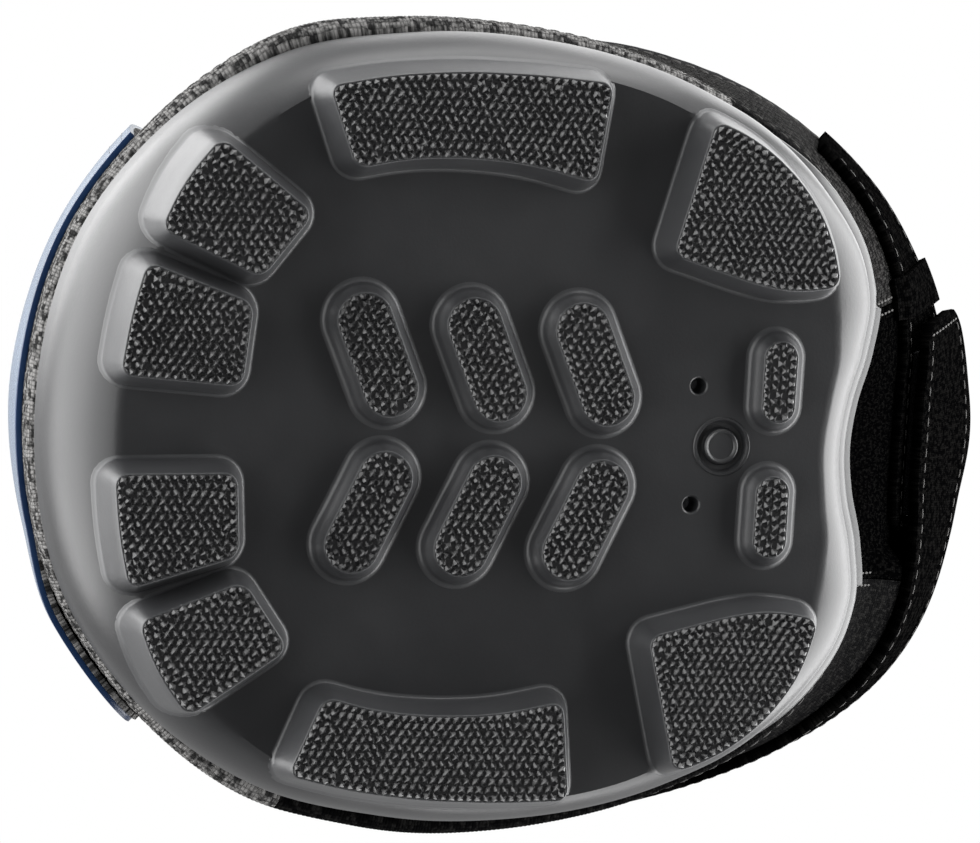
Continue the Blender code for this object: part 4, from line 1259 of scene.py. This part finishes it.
def make_keeper():
    bm = bmesh.new()
    rows = len(KEEPER_PATH) - 1
    bmesh.ops.create_grid(bm, x_segments=12, y_segments=rows, size=0.5)
    cloth_map = bm.loops.layers.uv.new("cloth")
    half = KEEPER_WIDTH / 2 / COLUMN_LENGTH
    travelled = [0]
    for (depth, height), (next_depth, next_height) in zip(KEEPER_PATH, KEEPER_PATH[1:]):
        travelled.append(travelled[-1] + math.hypot(next_depth - depth, next_height - height))
    for face in bm.faces:
        for loop in face.loops:
            row = round((loop.vert.co.y + 0.5) * rows)
            loop[cloth_map].uv = ((loop.vert.co.x + 0.5) * KEEPER_WIDTH, travelled[row])
    for vertex in bm.verts:
        depth, height = KEEPER_PATH[round((vertex.co.y + 0.5) * rows)]
        vertex.co = on_upper(KEEPER_COLUMN + vertex.co.x * 2 * half, height, depth)
    piece = dress(new_object("keeper", bm), strap_webbing, "boot", "strap_keeper", "black_webbing")
    finish_cloth(piece, KEEPER_THICKNESS)


make_keeper()

# Stitching
# Grey thread in short raised stitches: inside the straps' bindings, across the flap's root, round
# the tongue, and along the collar, the heel panel's seams and the edge tape.
STITCH_LENGTH = 0.0023
STITCH_SPACING = 0.0032
STITCH_RADIUS = 0.00027
STITCH_SINK = 0.0001
STRAP_INSET = 0.0032
thread_look = surface("grey_thread", patches,
    dark=(0.030, 0.029, 0.028), light=(0.085, 0.083, 0.080), patch=500, grain=4000, smooth=0.6, rough=0.85,
    relief=0.0002, bump=0.6, specular=0.2)


def sew(bm, spot, samples=240):
    """Stitches along a path: spot gives column, height and depth for a part from 0 to 1."""
    points = [on_upper(*spot(number / samples)) for number in range(samples + 1)]
    travelled = 0
    wanted = STITCH_SPACING / 2
    for here, there in zip(points, points[1:]):
        length = (there - here).length
        while wanted <= travelled + length and length > 0:
            middle = here.lerp(there, (wanted - travelled) / length)
            turn = (there - here).to_track_quat("Z", "Y")
            size = Vector((STITCH_RADIUS, STITCH_RADIUS, STITCH_LENGTH / 2))
            bmesh.ops.create_uvsphere(bm, u_segments=6, v_segments=4, radius=1,
                                      matrix=Matrix.LocRotScale(middle, turn, size))
            wanted += STITCH_SPACING
        travelled += length


def sew_strap(bm, root, end, depth):
    """A row inside a strap's binding: along both long edges and across its free end."""
    last = end + STRAP_INSET / COLUMN_LENGTH * (1 if root > end else -1)

    def long_edge(part, side):
        column = root + (last - root) * part
        low, high = strap_edges(end)(column)
        return column, high - STRAP_INSET if side else low + STRAP_INSET, depth(column)

    def cross(part):
        low, high = strap_edges(end)(last)
        return last, low + STRAP_INSET / 2 + (high - low - STRAP_INSET) * part, depth(last)

    for side in (0, 1):
        sew(bm, lambda part: long_edge(part, side))
    sew(bm, cross, 40)


def sew_piece(name, body, slot, *rows):
    """One piece of thread from rows, each given as what sews it into a mesh."""
    bm = bmesh.new()
    for row in rows:
        row(bm)
    new_piece(name, bm, thread_look, body, slot=slot, smooth=80)


def flap_row(part, column):
    low, high = facing_edges(column)
    return column, low + 0.002 + (high - low - 0.004) * part, facing_outer(column) - STITCH_SINK * 1.8


def tongue_row(part):
    column = (TONGUE_EDGE - 0.6) * math.cos(math.pi * part)
    foot = TONGUE_BASE + 0.004
    top = tongue_edges(column)[1] - 0.004
    return column, foot + (top - foot) * math.sin(math.pi * part) ** 0.35, -TONGUE_CLEARANCE


def collar_row(part, side, drop):
    column = side * (6 + (HEEL_COLUMN - 6) * part)
    return column, top_height(column) - drop, SHELL_THICKNESS


def seam_row(part, column):
    return column, 0.040 + (top_height(HEEL_EDGE) - 0.042) * part, SHELL_THICKNESS


def tape_row(part, side):
    column = side * TAPE_EDGE * part
    return column, tape_edges(column)[1] - 0.0018, SHELL_THICKNESS + GAP + TAPE_THICKNESS


sew_piece("strap_stitches", "heel_strap", "black_webbing", lambda bm: sew_strap(
    bm, STRAP_ROOT - 0.6, STRAP_END, lambda column: strap_depth(column) + STRAP_THICKNESS - STITCH_SINK))
sew_piece("flap_stitches", "front_flap", "blue_facing", *(
    lambda bm, column=FLAP_ROOT - back: sew(bm, lambda part: flap_row(part, column), 60)
    for back in (0.3, 0.75)))
sew_piece("tongue_stitches", "tongue", "black_webbing", lambda bm: sew(bm, tongue_row))


def sew_boot(bm):
    sew_strap(bm, BASE_ROOT + 0.6, BASE_END, lambda column: base_outer - STITCH_SINK)
    for side in (1, -1):
        for drop in (0.0022, 0.0052):
            sew(bm, lambda part: collar_row(part, side, drop))
        for shift in (-0.28, 0.28):
            sew(bm, lambda part: seam_row(part, side * (HEEL_EDGE + shift)))
        sew(bm, lambda part: tape_row(part, side), 480)


sew_piece("boot_stitches", "boot", "woven_shell", sew_boot)

# Floor, light and camera
# The boot stands on a pale floor that is see-through from below, because the photograph looks up
# at the tread. Soft boxes beyond the toe, heel and sides graze it, and two more shine from above.
TILT_TOE = math.radians(15.5)
TILT_SIDE = math.radians(4.5)
ROLL = math.radians(2.4)
CAMERA_DISTANCE = 0.9
TARGET_SHIFT = 0.0036
FOCAL_PIXELS = 4743
PICTURE_WIDTH = 980
FLOOR_REACH = 0.6
to_camera = Vector((math.tan(TILT_SIDE), -math.tan(TILT_TOE), -1)).normalized()
heelward = Vector((0, 1, 0))
level_right = (heelward - heelward.dot(to_camera) * to_camera).normalized()
level_up = to_camera.cross(level_right)
right = math.cos(ROLL) * level_right + math.sin(ROLL) * level_up
up = math.cos(ROLL) * level_up - math.sin(ROLL) * level_right
turned = Matrix((right, up, to_camera)).transposed().to_4x4()
turned.translation = Vector((SOLE_MIDDLE.x + TARGET_SHIFT, SOLE_MIDDLE.y, 0)) + to_camera * CAMERA_DISTANCE
camera = link("camera", bpy.data.cameras.new("camera"))
camera.data.sensor_width = 36
camera.data.lens = 36 * FOCAL_PIXELS / PICTURE_WIDTH
camera.matrix_world = turned
bpy.context.scene.camera = camera

for name, place, size, power in (
        ("toe_low_box", (0.10, -0.87, -0.50), (1.4, 0.75), 9.8),
        ("toe_high_box", (0.08, -0.97, 0.28), (1.7, 1.0), 27),
        ("heel_low_box", (-0.05, 1.1, -0.10), (2.1, 1.2), 62),
        ("heel_high_box", (0.0, 0.85, 0.75), (1.1, 0.75), 5),
        ("side_box", (1.15, 0.15, 0.12), (1.1, 1.3), 15),
        ("far_side_box", (-1.10, 0.35, 0.05), (0.8, 0.7), 7.5),
        ("overhead", (0.5, -0.6, 1.2), (0.9, 0.9), 10),
        ("overhead_back", (0.4, 0.6, 1.0), (0.8, 0.8), 4)):
    lamp = bpy.data.lights.new(name, "AREA")
    lamp.shape = "RECTANGLE"
    lamp.size, lamp.size_y = size
    lamp.energy = power
    item = link(name, lamp)
    item.matrix_world = Matrix.Translation(place) @ Vector(place).to_track_quat("Z", "Y").to_matrix().to_4x4()
    item.visible_camera = False

floor_data = bmesh.new()
bmesh.ops.create_grid(floor_data, x_segments=2, y_segments=2, size=FLOOR_REACH)
bmesh.ops.translate(floor_data, vec=(0, 0, -0.0002), verts=floor_data.verts)
floor = new_object("floor", floor_data)
floor_look = bpy.data.materials.new("pale_floor")
floor_look.use_nodes = True
floor_tree = floor_look.node_tree
floor_shader = floor_tree.nodes["Principled BSDF"]
floor_shader.inputs["Base Color"].default_value = (0.80, 0.80, 0.80, 1)
floor_shader.inputs["Roughness"].default_value = 0.7
below = place_node(floor_tree, "NewGeometry").outputs["Backfacing"]
clear = place_node(floor_tree, "BsdfTransparent").outputs[0]
seen = place_node(floor_tree, "MixShader", {0: below, 1: floor_shader.outputs[0], 2: clear})
floor_tree.links.new(seen.outputs[0], floor_tree.nodes["Material Output"].inputs["Surface"])
floor.data.materials.append(floor_look)
floor.visible_shadow = False
floor.visible_glossy = False
floor.visible_diffuse = False

world = bpy.data.worlds.new("studio")
world.use_nodes = True
bpy.context.scene.world = world
world_tree = world.node_tree
ambient = world_tree.nodes["Background"]
ambient.inputs["Color"].default_value = (0.15, 0.15, 0.15, 1)
ambient.inputs["Strength"].default_value = 1
white = place_node(world_tree, "Background", {"Color": (1, 1, 1, 1), "Strength": 1}).outputs[0]
path = place_node(world_tree, "LightPath")
way = place_node(world_tree, "TexCoord").outputs["Generated"]
height = place_node(world_tree, "SeparateXYZ", {"Vector": way}).outputs[2]
above = place_node(world_tree, "MapRange", {
    "Value": height, "From Min": -0.25, "From Max": 0.15, "To Min": 0.0, "To Max": 0.35}).outputs[0]
mirrored_white = sum_of(world_tree, "MULTIPLY", path.outputs["Is Glossy Ray"], above)
direct = sum_of(world_tree, "MAXIMUM", path.outputs["Is Camera Ray"], mirrored_white)
direct = sum_of(world_tree, "MAXIMUM", direct, path.outputs["Is Transmission Ray"])
mixed = place_node(world_tree, "MixShader", {0: direct, 1: ambient.outputs[0], 2: white})
world_tree.links.new(mixed.outputs[0], world_tree.nodes["World Output"].inputs["Surface"])
bpy.context.scene.view_settings.view_transform = "Standard"
